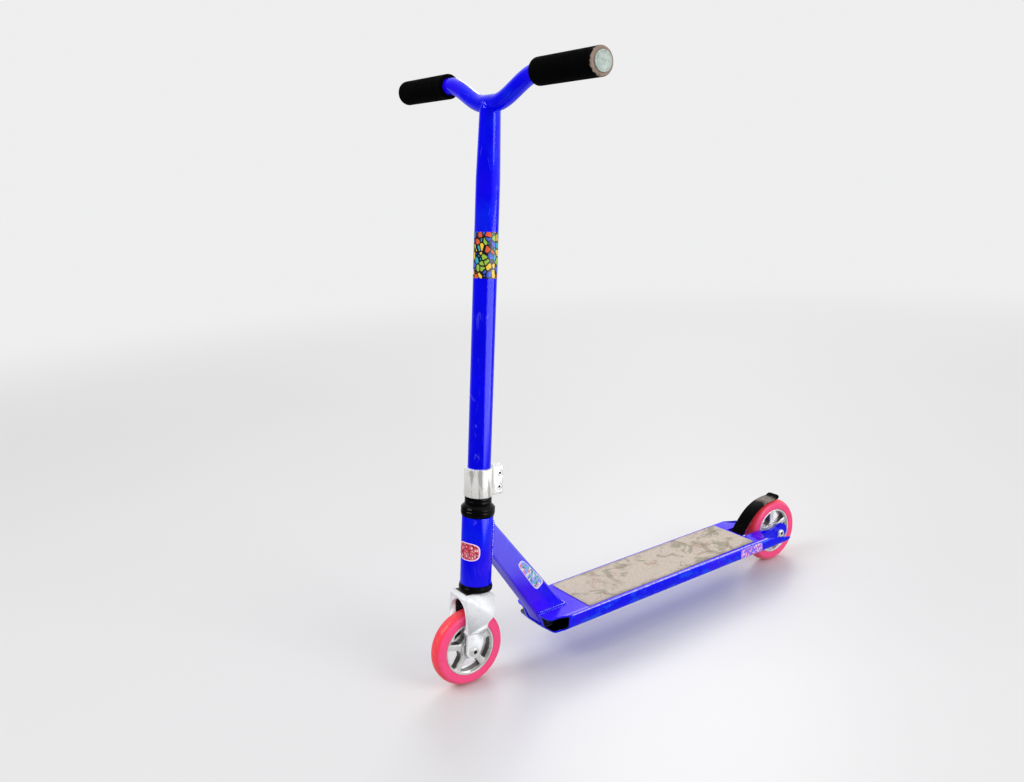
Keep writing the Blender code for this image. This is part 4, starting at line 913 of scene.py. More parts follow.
@dataclass(frozen=True)
class GripGrit(Finish):
    """Grip tape: tiny grains in beige and grey, trodden dark and brown in patches."""

    half_width: float = 0.0457
    grains: float = 2300.0
    pale: Colour = screen(226, 214, 202)
    mid: Colour = screen(192, 180, 166)
    dark: Colour = screen(118, 112, 100)
    brown: Colour = screen(168, 134, 116)
    olive: Colour = screen(128, 126, 104)

    def write(self, graph: Graph, spot: Signal) -> bpy.types.Material:
        """Write the grit."""
        across, along = spot.parts()[:2]
        shade, warmth = spot.cells(self.grains, "F1", "Color").parts()[:2]
        lumps = spot.noise(34.0, 5.0, 0.68, 0.6)
        patches = spot.noise((26.0, 15.0, 1.0), 5.0, 0.7, 1.2)
        rings = spot.noise(20.0, 3.0, 0.6, 2.0)
        trodden = spot.noise(27.0, 4.0, 0.62, 0.9) + along.ramp(0.02, 0.20) * 0.05
        outward = abs(across) + (lumps - 0.5) * 0.020
        edge = outward.ramp(self.half_width - 0.009, self.half_width + 0.001)
        colour = graph.layers(self.mid, (shade.ramp(0.15, 0.95), self.pale),
                              (warmth.ramp(0.70, 0.95) * 0.55, self.brown),
                              (patches.ramp(0.52, 0.72) * 0.55, self.dark),
                              (rings.ramp(0.56, 0.68) * 0.55, self.brown),
                              (trodden.ramp(0.55, 0.62) * 0.55, self.olive),
                              (lumps.ramp(0.60, 0.85) * 0.4 + edge * 0.45, self.dark))
        relief = spot.cells(self.grains) * -1.0 + shade * 0.5
        return graph.dress(colour, 0.88, (relief, 0.75, 0.00035))


class Palette(Enum):
    """Colours of the printed places; each is a generic pattern of the maker's own."""

    BRIGHT = (screen(226, 88, 40), screen(40, 170, 190), screen(150, 190, 60),
              screen(240, 200, 60), screen(60, 90, 210))
    PINK = (screen(236, 70, 96), screen(250, 130, 140), screen(206, 40, 70),
            screen(255, 196, 200), screen(226, 90, 130))
    SEA = (screen(240, 120, 120), screen(60, 190, 190), screen(110, 140, 250),
           screen(250, 220, 200), screen(40, 120, 150))
    LILAC = (screen(214, 110, 220), screen(250, 170, 220), screen(150, 90, 240),
             screen(250, 220, 245), screen(120, 110, 250))


@dataclass(frozen=True)
class PrintedFilm(Finish):
    """Printed film: a plain mosaic of coloured cells on a ground, with a pale rim.

    The piece's first texture place runs from 0 in the film's middle to 1 on its rim.
    """

    palette: Palette
    ground: Colour
    scale: float
    seam: float
    rim: Colour = screen(255, 214, 232)

    def write(self, graph: Graph, spot: Signal) -> bpy.types.Material:
        """Write the film; the seams between its cells have the ground colour."""
        tilted = spot.mapped((1.0, 1.0, 0.8), (0.4, 0.2, 0.7))
        pick = tilted.cells(self.scale, "F1", "Color").parts()[0]
        edge = tilted.cells(self.scale, "DISTANCE_TO_EDGE")
        worn = spot.noise(300.0, 4.0, 0.7)
        outward = graph.place("UV").parts()[0]
        tones = self.palette.value
        stops = [(index / len(tones), tone) for index, tone in enumerate(tones)]
        tone = graph.node("ShaderNodeValToRGB", {"stops": stops}, {0: pick})
        colour = graph.layers(tone,
                              (edge.ramp(self.seam, self.seam - 0.03), self.ground),
                              (worn.ramp(0.62, 0.78) * 0.5, self.ground),
                              (outward.ramp(0.88, 0.92), self.rim))
        return graph.dress(colour, 0.30 + worn * 0.15, (worn, 0.2, 0.00008), Coat_Weight=0.3)


FRAME_SLOT, BAR_SLOT, ALLOY_SLOT = "blue_frame_paint", "blue_bar_paint", "raw_alloy"
BLUE = GlossPaint("blue_gloss_paint", FRAME_SLOT)
BAR_BLUE = replace(BLUE, slot=BAR_SLOT)
NECK_BLUE = NeckPaint("blue_neck_paint", FRAME_SLOT)
# The bead's white pale colour paints glints on its ripples.
BEAD_BLUE = BeadPaint("blue_bead_paint", FRAME_SLOT, chip_and_glint=screen(255, 252, 255))
DECK_BLUE = DeckPaint("blue_deck_paint", FRAME_SLOT)
# FORGED's dark colour paints shade in the fork's slot, and bruises.
FORGED = ForgedFork("forged_alloy", ALLOY_SLOT, screen(248, 250, 252), screen(206, 212, 218),
                    0.36, Grain.FORGED, 0.8, 0.15)
STEERER = BareMetal("steerer_alloy", ALLOY_SLOT, screen(240, 241, 243),
                    screen(190, 190, 192), 0.30)
# MACHINED's dark colour paints shade in the wheel core's windows.
MACHINED = CoreAlloy("machined_alloy", ALLOY_SLOT, screen(250, 250, 249),
                     screen(196, 194, 190), 0.22, Grain.TURNED, 0.35, 0.6)
# CLAMP_ALLOY's dark colour paints dark reflection streaks.
CLAMP_ALLOY = ClampAlloy("clamp_alloy", ALLOY_SLOT, screen(252, 252, 249),
                         screen(200, 196, 188), 0.20, Grain.DRAWN, 0.4, 0.30,
                         screen(96, 84, 74))
# ZINC's dark colour paints shade in the bolts' sockets.
ZINC = BareMetal("zinc_plated_steel", "zinc_steel", screen(246, 246, 244),
                 screen(190, 188, 182), 0.26, Grain.FORGED, 0.4, 0.6, screen(20, 18, 18))
BLACK = Anodised("black_anodised", "black_headset")
STRIP = BrakeCoat("brake_strip_coat", "black_brake")
RUBBER = GripRubber("ribbed_rubber", "grip_rubber")
PLASTIC = MouldedPlastic("moulded_plastic", "plug_plastic")
GRIT = GripGrit("grip_tape_grit", "grit")
WRAP = PrintedFilm("bar_wrap_film", BAR_SLOT, Palette.BRIGHT, screen(12, 12, 14), 150.0, 0.12)
HEAD_PATCH = PrintedFilm("head_tube_film", FRAME_SLOT, Palette.PINK, screen(140, 24, 60),
                         330.0, 0.10)
NECK_PATCH = PrintedFilm("neck_film", FRAME_SLOT, Palette.SEA, screen(176, 176, 250),
                         300.0, 0.08, screen(214, 214, 250))
DECK_PATCH = PrintedFilm("deck_side_film", FRAME_SLOT, Palette.LILAC, screen(150, 100, 226),
                         300.0, 0.08, screen(196, 150, 232))


# Pieces

def oblong(near: float, far: float, low: float, high: float) -> List[Tuple[float, float]]:
    """Return the corners of an outline between two places across and two heights."""
    return [(near, low), (far, low), (far, high), (near, high)]


def add_object(name: str, data: bpy.types.ID) -> bpy.types.Object:
    """Return a new object that is in the scene."""
    made = bpy.data.objects.new(name, data)
    bpy.context.scene.collection.objects.link(made)
    return made


def settle(name: str, mesh: bpy.types.Mesh, finish: Finish, body: str, replaces: str,
           sharp: float) -> bpy.types.Object:
    """Shade a mesh, put it in the scene and let it ride on its body.

    Args:
        name: the object's name.
        mesh: its mesh.
        finish: what it is finished in.
        body: the body that it moves with.
        replaces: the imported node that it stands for, if it stands for one.
        sharp: edges that turn by more than this many degrees stay sharp.

    Returns:
        The object.
    """
    mesh.shade_smooth()
    mesh.set_sharp_from_angle(angle=math.radians(sharp))
    mesh.materials.clear()
    mesh.materials.append(finish.material())
    piece = add_object(name, mesh)
    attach(piece, body)
    if replaces:
        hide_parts(replaces)
    log.info("%s: %d faces, on %s", name, len(mesh.polygons), body)
    return piece


def add_piece(name: str, surfaces: Sequence[Surface], finish: Finish, body: str,
              replaces: str = "", axes: Optional[Axes] = None, sharp: float = 32.0) -> None:
    """Turn surfaces into one object that rides on a body.

    Args:
        name, finish, body, replaces, sharp: as for settle.
        surfaces: its closed surfaces, or one open film.
        axes: the local frame that the surfaces are in, if it isn't the scooter's.
    """
    if axes is not None:
        surfaces = [surface.placed(axes) for surface in surfaces]
    points = np.vstack([surface.points for surface in surfaces])
    starts = np.cumsum([0] + [len(surface.points) for surface in surfaces[:-1]])
    faces = [face for surface, start in zip(surfaces, starts)
             for block in surface.faces for face in (block + start).tolist()]
    mesh = bpy.data.meshes.new(name)
    mesh.from_pydata(points.tolist(), [], faces)
    if surfaces[0].places is not None:
        layer = mesh.uv_layers.new(name="places")
        corner = np.zeros(len(mesh.loops), np.int32)
        mesh.loops.foreach_get("vertex_index", corner)
        places = np.vstack([surface.places for surface in surfaces])
        layer.data.foreach_set("uv", places[corner].astype(np.float32).ravel())
    shape = bmesh.new()
    shape.from_mesh(mesh)
    bmesh.ops.remove_doubles(shape, verts=shape.verts, dist=1e-7)
    bmesh.ops.dissolve_degenerate(shape, edges=shape.edges, dist=1e-8)
    shape.to_mesh(mesh)
    shape.free()
    settle(name, mesh, finish, body, replaces, sharp)


def socket_head(head: float, height: float, shank: float, seat: float, end: float) -> Surface:
    """Return a low domed bolt with a hexagon socket, pointing up its local axis.

    Args:
        head: radius of the head.
        height: height of the head.
        shank: radius of the shank.
        seat: height of the plane that the head sits on.
        end: height of the shank's end.

    Returns:
        The bolt as one closed surface; its first texture place is 1 in the socket, which the finish paints with
        shade.
    """
    key = 0.39 * head
    top = seat + height
    rows = [
        (0.0, 0.0, end), (shank - 0.0005, 0.0, end), (shank, 0.0, end + 0.0005),
        (shank, 0.0, seat), (head - 0.0002, 0.0, seat), (head, 0.0, seat + 0.0002),
        (head, 0.0, seat + height * 0.50), (head * 0.97, 0.0, seat + height * 0.66),
        (head * 0.90, 0.0, seat + height * 0.82), (head * 0.80, 0.0, seat + height * 0.94),
        (head * 0.70, 0.0, top), (key * 1.26, 0.0, top), (key * 1.05, 0.7, top - 0.0002),
        (key, 1.0, top - 0.0005), (key, 1.0, top - height * 0.62),
        (key * 0.95, 0.9, top - height * 0.64), (0.0, 0.0, top - height * 0.80),
    ]
    socket_rows = 4
    grid = hexagonal(rows)
    places = np.zeros((*grid.shape[:2], 2))
    places[-socket_rows:, :, 0] = 1.0
    return grid_surface(grid, places=places).outward()


def lock_nut(half: float, bore: float, near: float, far: float) -> Surface:
    """Return a hexagon lock nut with chamfered corners and a round collar.

    Args:
        half: half its width across flats.
        bore: radius of its hole.
        near: height of the face that it sits on.
        far: height of its collar's end, below near.

    Returns:
        The nut as one closed surface.
    """
    return grid_surface(hexagonal([
        (bore, 0.0, near), (half * 1.04, 0.0, near), (half, 1.0, near - 0.0006),
        (half, 1.0, far + 0.0018), (half, 0.0, far + 0.0012), (half * 0.86, 0.0, far + 0.0011),
        (half * 0.84, 0.0, far + 0.0003), (half * 0.78, 0.0, far), (bore, 0.0, far),
    ]), loop=True).outward()


@dataclass
class Wheel:
    """A cast tyre on a spoked, turned core with two shielded bearings."""

    end: str
    radius: float = 0.0550
    width: float = 0.0240
    shoulder_drop: float = 0.0060
    crown_power: float = 2.5
    core_radius: float = 0.0385
    rim_half: float = 0.0106
    rim_wall: float = 0.0030
    hub_radius: float = 0.0138
    hub_bulge: float = 0.0011
    bulge_half: float = 0.0075
    bearing_radius: float = 0.0110
    bearing_depth: float = 0.0070
    bore_radius: float = 0.0041
    rib_half: float = 0.0047
    rib_height: float = 0.0018
    spokes: int = 5
    spoke_half: float = 0.0046
    spoke_depth: float = 0.0074
    spoke_flare: float = 0.0034
    spoke_waist: float = 0.0010
    gap: float = GAP

    def build(self) -> None:
        """Add the tyre, core and bearings."""
        axes, body = axle_axes(self.end), f"{self.end}_wheel"
        urethane = Urethane(f"{self.end}_urethane", "pink_urethane", axes.origin)
        add_piece(f"{self.end}_tyre_skin", [self.tyre()], urethane, body, f"{self.end}_tyre",
                  axes, 50.0)
        core = [self.rim(), self.hub()] + [self.spoke(index) for index in range(self.spokes)]
        add_piece(f"{self.end}_core_skin", core, MACHINED, body, f"{self.end}_wheel_core", axes)
        for side in Side:
            add_piece(f"{self.end}_bearing_skin_{side.word}", [self.bearing(side)], ZINC, body,
                      f"{self.end}_bearing_{side.word}", axes)

    def tyre(self) -> Surface:
        """Return the tyre: its radius falls from the middle by drop times |x / half| ^ power."""
        half = self.width / 2
        across = np.linspace(-half, half, 49)
        crown = self.radius - self.shoulder_drop * np.abs(across / half) ** self.crown_power
        bore = self.core_radius + self.gap
        left = np.array([[bore, -self.rim_half], [bore + 0.0012, -self.rim_half - 0.0004]])
        right = left[::-1] * (1.0, -1.0)
        profile = np.vstack([left, np.column_stack([crown, across]), right])
        return turned(softened(profile, 0.00045, 0.0024, closed=True), 128)

    def rim(self) -> Surface:
        """Return the core's rim: a thin drum with a rolled lip on each side."""
        outer, inner, half = self.core_radius, self.core_radius - self.rim_wall, self.rim_half
        corners = [(outer, -half), (outer, half), (inner + 0.0010, half),
                   (inner + 0.0004, half - 0.0012), (inner, self.spoke_depth - 0.0006),
                   (inner, 0.0006 - self.spoke_depth), (inner + 0.0004, 0.0012 - half),
                   (inner + 0.0010, -half)]
        return turned(filleted(corners, 0.0005, 3), 128)

    def hub(self) -> Surface:
        """Return the hub with its bearing seats and chamfered ends."""
        half, seat = self.width / 2, self.bearing_radius + self.gap
        rib, bulge = seat - self.rib_height, self.hub_radius + self.hub_bulge
        corners = [(seat, -half), (self.hub_radius, -half), (bulge, -self.bulge_half),
                   (bulge, self.bulge_half), (self.hub_radius, half), (seat, half),
                   (seat, self.rib_half), (rib, self.rib_half), (rib, -self.rib_half),
                   (seat, -self.rib_half)]
        return turned(filleted(corners, 0.0005, 3))

    def spoke(self, index: int) -> Surface:
        """Return one spoke: a rounded bar that flares into the hub and the rim.

        Its half width is the spoke's plus the flare times |2 s - 1| ^ 5, where s runs from 0
        at the hub to 1 at the rim; its half depth is least in the middle.
        """
        share = np.linspace(0.0, 1.0, 41)
        start, stop = self.hub_radius - 0.0004, self.core_radius - 0.0012
        reach = start + (stop - start) * share
        ends = np.abs(2 * share - 1)
        half = self.spoke_half + self.spoke_flare * ends ** 5
        depth = self.spoke_depth - self.spoke_waist * (1 - ends ** 2)
        unit = filleted(oblong(-1, 1, -1, 1), 0.34, 5)
        turn = math.pi / 2 + 2 * math.pi * index / self.spokes
        along = np.array([math.cos(turn), math.sin(turn), 0.0])
        beside = np.array([-math.sin(turn), math.cos(turn), 0.0])
        grid = (reach[:, None, None] * along
                + (half[:, None] * unit[:, 0])[..., None] * beside
                + (depth[:, None] * unit[:, 1])[..., None] * np.array([0.0, 0.0, 1.0]))
        return grid_surface(grid, caps=True).outward()

    def bearing(self, side: Side) -> Surface:
        """Return a bearing: two races with a sunk, stepped shield between them."""
        bore, outer, face = self.bore_radius, self.bearing_radius, self.width / 2
        low = face - self.bearing_depth
        corners = [(bore, low), (outer, low), (outer, face), (0.0096, face),
                   (0.0095, face - 0.0006), (0.0070, face - 0.0007), (0.0069, face - 0.0003),
                   (0.0062, face - 0.0003), (0.0061, face), (bore, face)]
        return turned(filleted(corners, 0.00025, 3) * (1.0, side.value), 72)


@dataclass
class Axle:
    """A socket-head axle bolt with its nut and spacers."""

    end: str
    body: str
    inner_face: float
    outer_face: float
    radius: float = 0.00395
    head_radius: float = 0.0066
    head_height: float = 0.0046
    nut_half: float = 0.0065
    nut_height: float = 0.0055
    tip: float = 0.0015
    spacer_start: float = 0.0123
    spacer_radius: float = 0.0065
    gap: float = GAP

    def build(self) -> None:
        """Add the bolt, nut and spacers."""
        seat, bore = self.outer_face + self.gap, self.radius + self.gap
        far = -seat - self.nut_height
        bolt = socket_head(self.head_radius, self.head_height, self.radius, seat, far - self.tip)
        rows = [("axle_bolt_skin", "axle_bolt", bolt),
                ("axle_nut_skin", "axle_nut", lock_nut(self.nut_half, bore, -seat, far))]
        ring = filleted(oblong(bore, self.spacer_radius, self.spacer_start,
                               self.inner_face - self.gap), 0.0002, 2)
        for side in Side:
            rows.append((f"spacer_skin_{side.word}", f"axle_spacer_{side.word}",
                         turned(ring * (1.0, side.value), 48)))
        for name, node, surface in rows:
            add_piece(f"{self.end}_{name}", [surface], ZINC, self.body, f"{self.end}_{node}",
                      axle_axes(self.end))


@dataclass
class Stack:
    """Head tube, cups, cover and spacer along the steering axis."""

    tube_radius: float = HEAD_TUBE_RADIUS
    tube_bore: float = 0.0186
    tube_low: float = 0.0934
    tube_high: float = 0.1916
    cup_radius: float = 0.0236
    cup_height: float = 0.0087
    skirt_length: float = 0.0100
    lower_cup: float = 0.0844
    upper_cup: float = 0.2006
    cover_low: float = 0.2009
    cover_high: float = 0.2085
    spacer_low: float = 0.2088
    spacer_high: float = 0.2192
    spacer_radius: float = 0.0187
    steerer_bore: float = 0.0130

    def build(self) -> None:
        """Add the pieces."""
        tube = oblong(self.tube_bore, self.tube_radius, self.tube_low, self.tube_high)
        lower = self.cup() + (0.0, self.lower_cup)
        upper = self.cup() * (1.0, -1.0) + (0.0, self.upper_cup)
        for name, node, profile, finish, body in (
                ("head_tube_skin", "head_tube", filleted(tube, 0.0007, 4), BLUE, "deck_frame"),
                ("lower_cup_skin", "lower_headset_cup", lower, BLACK, "deck_frame"),
                ("upper_cup_skin", "upper_headset_cup", upper, BLACK, "deck_frame"),
                ("cover_skin", "headset_cover", self.cover(), BLACK, "steering"),
                ("spacer_skin", "headset_spacer", self.spacer(), BLACK, "steering")):
            add_piece(name, [turned(profile, 128)], finish, body, node, STEERING)

    def cup(self) -> Array:
        """Return a cup's profile from its open mouth to its pressed skirt."""
        radius, height = self.cup_radius, self.cup_height
        skirt = height + self.skirt_length
        corners = [(0.0209, 0.0), (radius - 0.0010, 0.0), (radius, 0.0014), (radius, 0.0052),
                   (radius - 0.0007, 0.0058), (radius - 0.0007, height - 0.0006),
                   (0.0219, height), (0.0183, height), (0.0183, skirt), (0.0163, skirt),
                   (0.0163, height - 0.0010), (0.0209, height - 0.0010)]
        return filleted(corners, 0.0005, 3)

    def cover(self) -> Array:
        """Return the top cover's profile: a rolled rim that domes in to the spacer."""
        low, high, radius = self.cover_low, self.cover_high, self.cup_radius
        corners = [(self.steerer_bore, low + 0.0030), (0.0171, low + 0.0030), (0.0171, low),
                   (radius - 0.0004, low), (radius, low + 0.0006), (radius, low + 0.0026),
                   (radius - 0.0016, low + 0.0044), (self.spacer_radius + 0.0006, high - 0.0006),
                   (self.spacer_radius - 0.0004, high), (self.steerer_bore, high)]
        return filleted(corners, [0.0003] * 5 + [0.0012, 0.0016, 0.0006, 0.0003, 0.0003], 4)

    def spacer(self) -> Array:
        """Return the spacer's profile with a shallow groove round its middle."""
        low, high, radius = self.spacer_low, self.spacer_high, self.spacer_radius
        middle = (low + high) / 2
        corners = [(self.steerer_bore, low), (radius, low), (radius, middle - 0.0009),
                   (radius - 0.0005, middle - 0.0005), (radius - 0.0005, middle + 0.0005),
                   (radius, middle + 0.0009), (radius, high), (self.steerer_bore, high)]
        return filleted(corners, 0.0005, 3)


@dataclass
class Handlebar:
    """The welded bar: a necked down tube under a bent crossbar, with a printed wrap."""

    base: float = 0.2198
    tube_radius: float = 0.0159
    tube_wall: float = 0.0014
    necked_radius: float = 0.01375
    taper_length: float = 0.0820
    height: float = BAR_HEIGHT
    rise: float = 0.0289
    bend_start: float = 0.0120
    bend_end: float = 0.1000
    half_width: float = BAR_HALF
    crossbar_radius: float = 0.0111
    crossbar_wall: float = 0.0016
    slit_half: float = 0.0015
    slit_length: float = 0.0600
    slit_closing: float = 0.0020
    bead_radius: float = 0.0013
    bead_pitch: float = 0.0020
    wrap_low: float = 0.5160
    wrap_high: float = 0.5760
    wrap_gap: float = 0.00002
    wrap_lift: float = 0.00015

    def build(self) -> None:
        """Add the bar with its weld, and the wrap round it."""
        add_piece("handlebar_skin", [self.down_tube(), self.crossbar(), self.saddle_weld()],
                  BAR_BLUE, "steering", "handlebar", STEERING, 40.0)
        sleeve = oblong(self.tube_radius + self.wrap_gap, self.tube_radius + self.wrap_lift,
                        self.wrap_low, self.wrap_high)
        add_piece("bar_wrap", [turned(np.array(sleeve))], WRAP, "steering", axes=STEERING)

    def crossbar_height(self, across: Array) -> Array:
        """Return the crossbar's height: a smooth step from the middle out to the grips."""
        share = np.clip((np.abs(across) - self.bend_start) / (self.bend_end - self.bend_start),
                        0.0, 1.0)
        return self.height - self.rise * (1 - share * share * (3 - 2 * share))

    def down_tube(self) -> Surface:
        """Return the down tube with its wall, its rounded shoulder and its slit.

        The slit's two edges are the first and last turns. Above its top they come together,
        so that it narrows to nothing over its closing length.
        """
        top = self.height - self.rise
        taper = top - self.crossbar_radius - self.taper_length
        wall = self.tube_wall
        outer = [(self.tube_radius, self.base), (self.tube_radius, taper),
                 (self.necked_radius, top - self.crossbar_radius),
                 (self.necked_radius, top - 0.0075), (self.crossbar_radius + 0.0006, top + 0.0022),
                 (self.crossbar_radius - 0.0060, top + 0.0052)]
        inner = [(self.necked_radius - wall, top - self.crossbar_radius - 0.0030),
                 (self.tube_radius - wall, taper), (self.tube_radius - wall, self.base)]
        radii = [0.0003, 0.0600, 0.0400, 0.0150, 0.0060, 0.0, 0.0, 0.02, 0.0003]
        profile = filleted(outer + inner, radii, 8)
        radius, height = profile[:, :1], profile[:, 1:]
        start = self.slit_half / self.tube_radius
        turn = np.linspace(start, 2 * np.pi - start, 120) + np.pi / 2
        middle = 1.5 * np.pi
        closing = np.clip((height - self.base - self.slit_length) / self.slit_closing, 0.0, 1.0)
        spread = 1 + closing * (np.pi / (turn[-1] - middle) - 1)
        grid = polar(radius, middle + (turn - middle) * spread, height)
        return grid_surface(grid, loop=True, seam=False).outward()

    def crossbar(self) -> Surface:
        """Return the bent crossbar, open at both ends: two circles carried along its path."""
        across = np.linspace(-self.half_width, self.half_width, 241)
        path = np.stack([across, np.zeros_like(across), self.crossbar_height(across)], axis=1)
        travel = travel_along(path)
        above = np.stack([-travel[:, 2], np.zeros(len(path)), travel[:, 0]], axis=1)
        turn = turns(64)[:, None]
        ring = np.cos(turn) * above[:, None, :] + np.sin(turn) * np.array([0.0, 1.0, 0.0])
        outer, inner = (path[:, None, :] + radius * ring for radius in
                        (self.crossbar_radius, self.crossbar_radius - self.crossbar_wall))
        return grid_surface(np.concatenate([outer, inner[::-1]]), loop=True).outward()

    def saddle_weld(self) -> Surface:
        """Return the weld bead where the crossbar lies in the down tube's saddle.

        At turn t the bead is at (r cos t, b sin t, h), r the down tube's radius and b the
        crossbar's, and h is where the crossbar's skin passes: its middle less b |cos t|.
        """
        turn = turns(160)
        across = (self.necked_radius + 0.0002) * np.cos(turn)
        back = (self.crossbar_radius + 0.0012) * np.sin(turn)
        height = self.crossbar_height(across) - self.crossbar_radius * np.abs(np.cos(turn)) * 0.97
        path = np.stack([across, back, height], axis=1)
        return weld_bead(path, self.bead_radius, self.bead_pitch, (0.0, 0.0, 1.0))


@dataclass
class Grip:
    """A ribbed rubber grip and the plug in the bar's end."""

    side: Side
    height: float = BAR_HEIGHT
    end: float = BAR_HALF
    length: float = 0.1164
    bore: float = 0.0114
    radius: float = 0.0166
    ribs: int = 30
    groove: float = 0.0006
    groove_start: float = 0.0006
    inner_collar: float = 0.0090
    outer_collar: float = 0.0080
    edge: float = 0.0026
    plug_gap: float = GAP
    plug_depth: float = 0.0240

    def build(self) -> None:
        """Add the grip and the plug."""
        axes, word = STEERING.leftward(0.0, self.height), self.side.word
        add_piece(f"grip_skin_{word}", [self.sleeve()], RUBBER, "steering", f"grip_{word}",
                  axes, 60.0)
        add_piece(f"bar_plug_skin_{word}", [self.plug()], PLASTIC, "steering",
                  f"bar_plug_{word}", axes)

    def sleeve(self) -> Surface:
        """Return the grip: fine rings between two plain, rounded collars.

        Between the collars the radius is the full one less the groove's depth times
        (1 - |sin|) squared of the run over the ribs' pitch.
        """
        inner = self.end - self.length
        run = np.linspace(0.0, self.length, 700)
        ribbed = np.minimum(run - self.inner_collar, self.length - self.outer_collar - run)
        pitch = (self.length - self.inner_collar - self.outer_collar) / self.ribs
        wave = (1 - np.abs(np.sin(np.pi * (run - self.inner_collar) / pitch))) ** 2
        zone = np.clip(ribbed / self.groove_start, 0.0, 1.0)
        radius = (self.radius - self.groove * wave * zone
                  - rounding(np.minimum(run, self.length - run), self.edge))
        outer = np.stack([radius, inner + run], axis=1)
        profile = np.vstack([outer, [[self.bore, self.end], [self.bore, inner]]])
        return turned(profile * (1.0, self.side.value), 72)

    def plug(self) -> Surface:
        """Return the plug: a low dome with a ring groove and a dimple in its middle."""
        low = self.end + self.plug_gap
        corners = [(0.0, low - self.plug_depth), (0.0088, low - self.plug_depth),
                   (0.0092, low - 0.0005), (0.0092, low), (0.0119, low), (0.0119, low + 0.0016),
                   (0.0112, low + 0.0022), (0.0104, low + 0.0023), (0.0101, low + 0.0017),
                   (0.0097, low + 0.0023), (0.0070, low + 0.0035), (0.0035, low + 0.0041),
                   (0.0011, low + 0.0042), (0.0008, low + 0.0034), (0.0, low + 0.0033)]
        profile = filleted(corners, 0.0005, 3, closed=False)
        return turned(profile * (1.0, self.side.value), 64)


@dataclass
class BrakeStrip:
    """The bent brake strip that springs over the rear wheel."""

    half_width: float = 0.0125
    thickness: float = 0.0025
    corner: float = 0.0045
    edge: float = 0.0006
    apex: Tuple[float, float] = (0.3130, 0.1149)
    arc_radius: float = 0.0850
    lean: float = math.radians(45.0)
    flat: float = 0.0100
    lip_angle: float = math.radians(30.0)
    lip_length: float = 0.0075
    gap: float = GAP

    def build(self) -> None:
        """Add the strip above its bend."""
        line = self.upper_line()
        travel = travel_along(line)
        thin = self.thickness / 2
        middle = line + np.stack([travel[:, 1], -travel[:, 0]], axis=1) * thin
        run = run_along(middle)
        outline = filleted(oblong(-self.half_width, self.half_width, -thin, thin), self.edge, 4)
        section = np.repeat(outline[None], len(run), axis=0)
        section[..., 0] -= (np.sign(section[..., 0])
                            * rounding(run[-1] - run, self.corner)[:, None])
        path = np.column_stack([np.zeros(len(middle)), middle])
        add_piece("brake_strip_skin", [swept(path, section, (1.0, 0.0, 0.0))], STRIP, "brake",
                  "brake_band")

    def upper_line(self) -> Array:
        """Return the upper face as (back, height): a slope, an arc, a flat and a lip."""
        turn = np.linspace(self.lean, 0.0, 40)
        arc = np.array(self.apex) - self.arc_radius * np.stack([np.sin(turn), 1 - np.cos(turn)],
                                                               axis=1)
        slope = np.array([math.cos(self.lean), math.sin(self.lean)])
        inward = np.array([math.sin(self.lean), -math.cos(self.lean)])
        hinge = np.array(JOINTS["brake_flex"]["pos_m"][1:])
        start = hinge - inward * self.thickness / 2 + slope * self.gap
        foot = np.array([self.apex[0] + self.flat, self.apex[1]])
        lip = foot + self.lip_length * np.array([math.cos(self.lip_angle),
                                                 math.sin(self.lip_angle)])
        return softened(np.vstack([start, arc, foot, lip]), 0.0008, 0.0040)


@dataclass
class ForkArch:
    """The round top of the slot between the fork's legs, and its flared mouth."""

    half: float = 0.0145
    top: float = 0.0740
    gap: float = GAP
    slack: float = 0.0002
    front: float = -0.0280
    mouth_start: float = -0.0224
    mouth_depth: float = 0.0070
    flare: float = 0.0070
    rise: float = 0.0240
    reach: float = 0.0216
    cuts: int = 3

    def mend(self, shape: bmesh.types.BMesh) -> None:
        """Split the arch's coarse facets and put their points on its true curves."""
        local, inside = self.points(shape)
        edges = [edge for edge in shape.edges
                 if all(inside[vertex.index] for vertex in edge.verts)]
        bmesh.ops.subdivide_edges(shape, edges=edges, cuts=self.cuts, use_grid_fill=True)
        local, inside = self.points(shape)
        for vertex, place, moved in zip(shape.verts, STEERING.place(self.snapped(local)), inside):
            if moved:
                vertex.co = place

    def points(self, shape: bmesh.types.BMesh) -> Tuple[Array, Array]:
        """Return the local points, and which of them lie on the slot's wall above the legs."""
        local = STEERING.local(np.array([vertex.co for vertex in shape.verts]))
        across, back, height = np.abs(local[:, 0]), local[:, 1], local[:, 2]
        mouth = back < self.mouth_start
        arched = (mouth & (height > self.top - self.rise)) | (height > self.top - self.half)
        allowed = np.where(mouth, self.reach, self.half + self.slack)
        return local, (across < allowed) & arched & (height < self.top + self.slack)

    def snapped(self, local: Array) -> Array:
        """Return the points on the true curves.

        Behind the mouth the wall is a cylinder of radius half. In the mouth a point at height
        h is at |x| = (half + flare * deep * min((top - h) / rise, 1)) cos a, where
        sin a = (h - top + half) / half above the springing and 0 below it, and deep runs from
        0 where the mouth starts to 1 at the fork's front.
        """
        across, back, height = local.T
        springing = self.top - self.half
        size = np.maximum(np.hypot(across, height - springing), 1e-9)
        round_wall = np.stack([across * self.half / size, back,
                               springing + (height - springing) * self.half / size], axis=1)
        half, top = self.half - self.gap, self.top - self.gap
        deep = (self.front + self.mouth_depth - back) / self.mouth_depth
        lift = np.clip((height - top + half) / half, 0.0, 1.0)
        widened = half + self.flare * deep * np.clip((top - height) / self.rise, 0.0, 1.0)
        flared = np.stack([np.sign(across) * widened * np.sqrt(1 - lift ** 2), back, height],
                          axis=1)
        return np.where((back < self.mouth_start)[:, None], flared, round_wall)


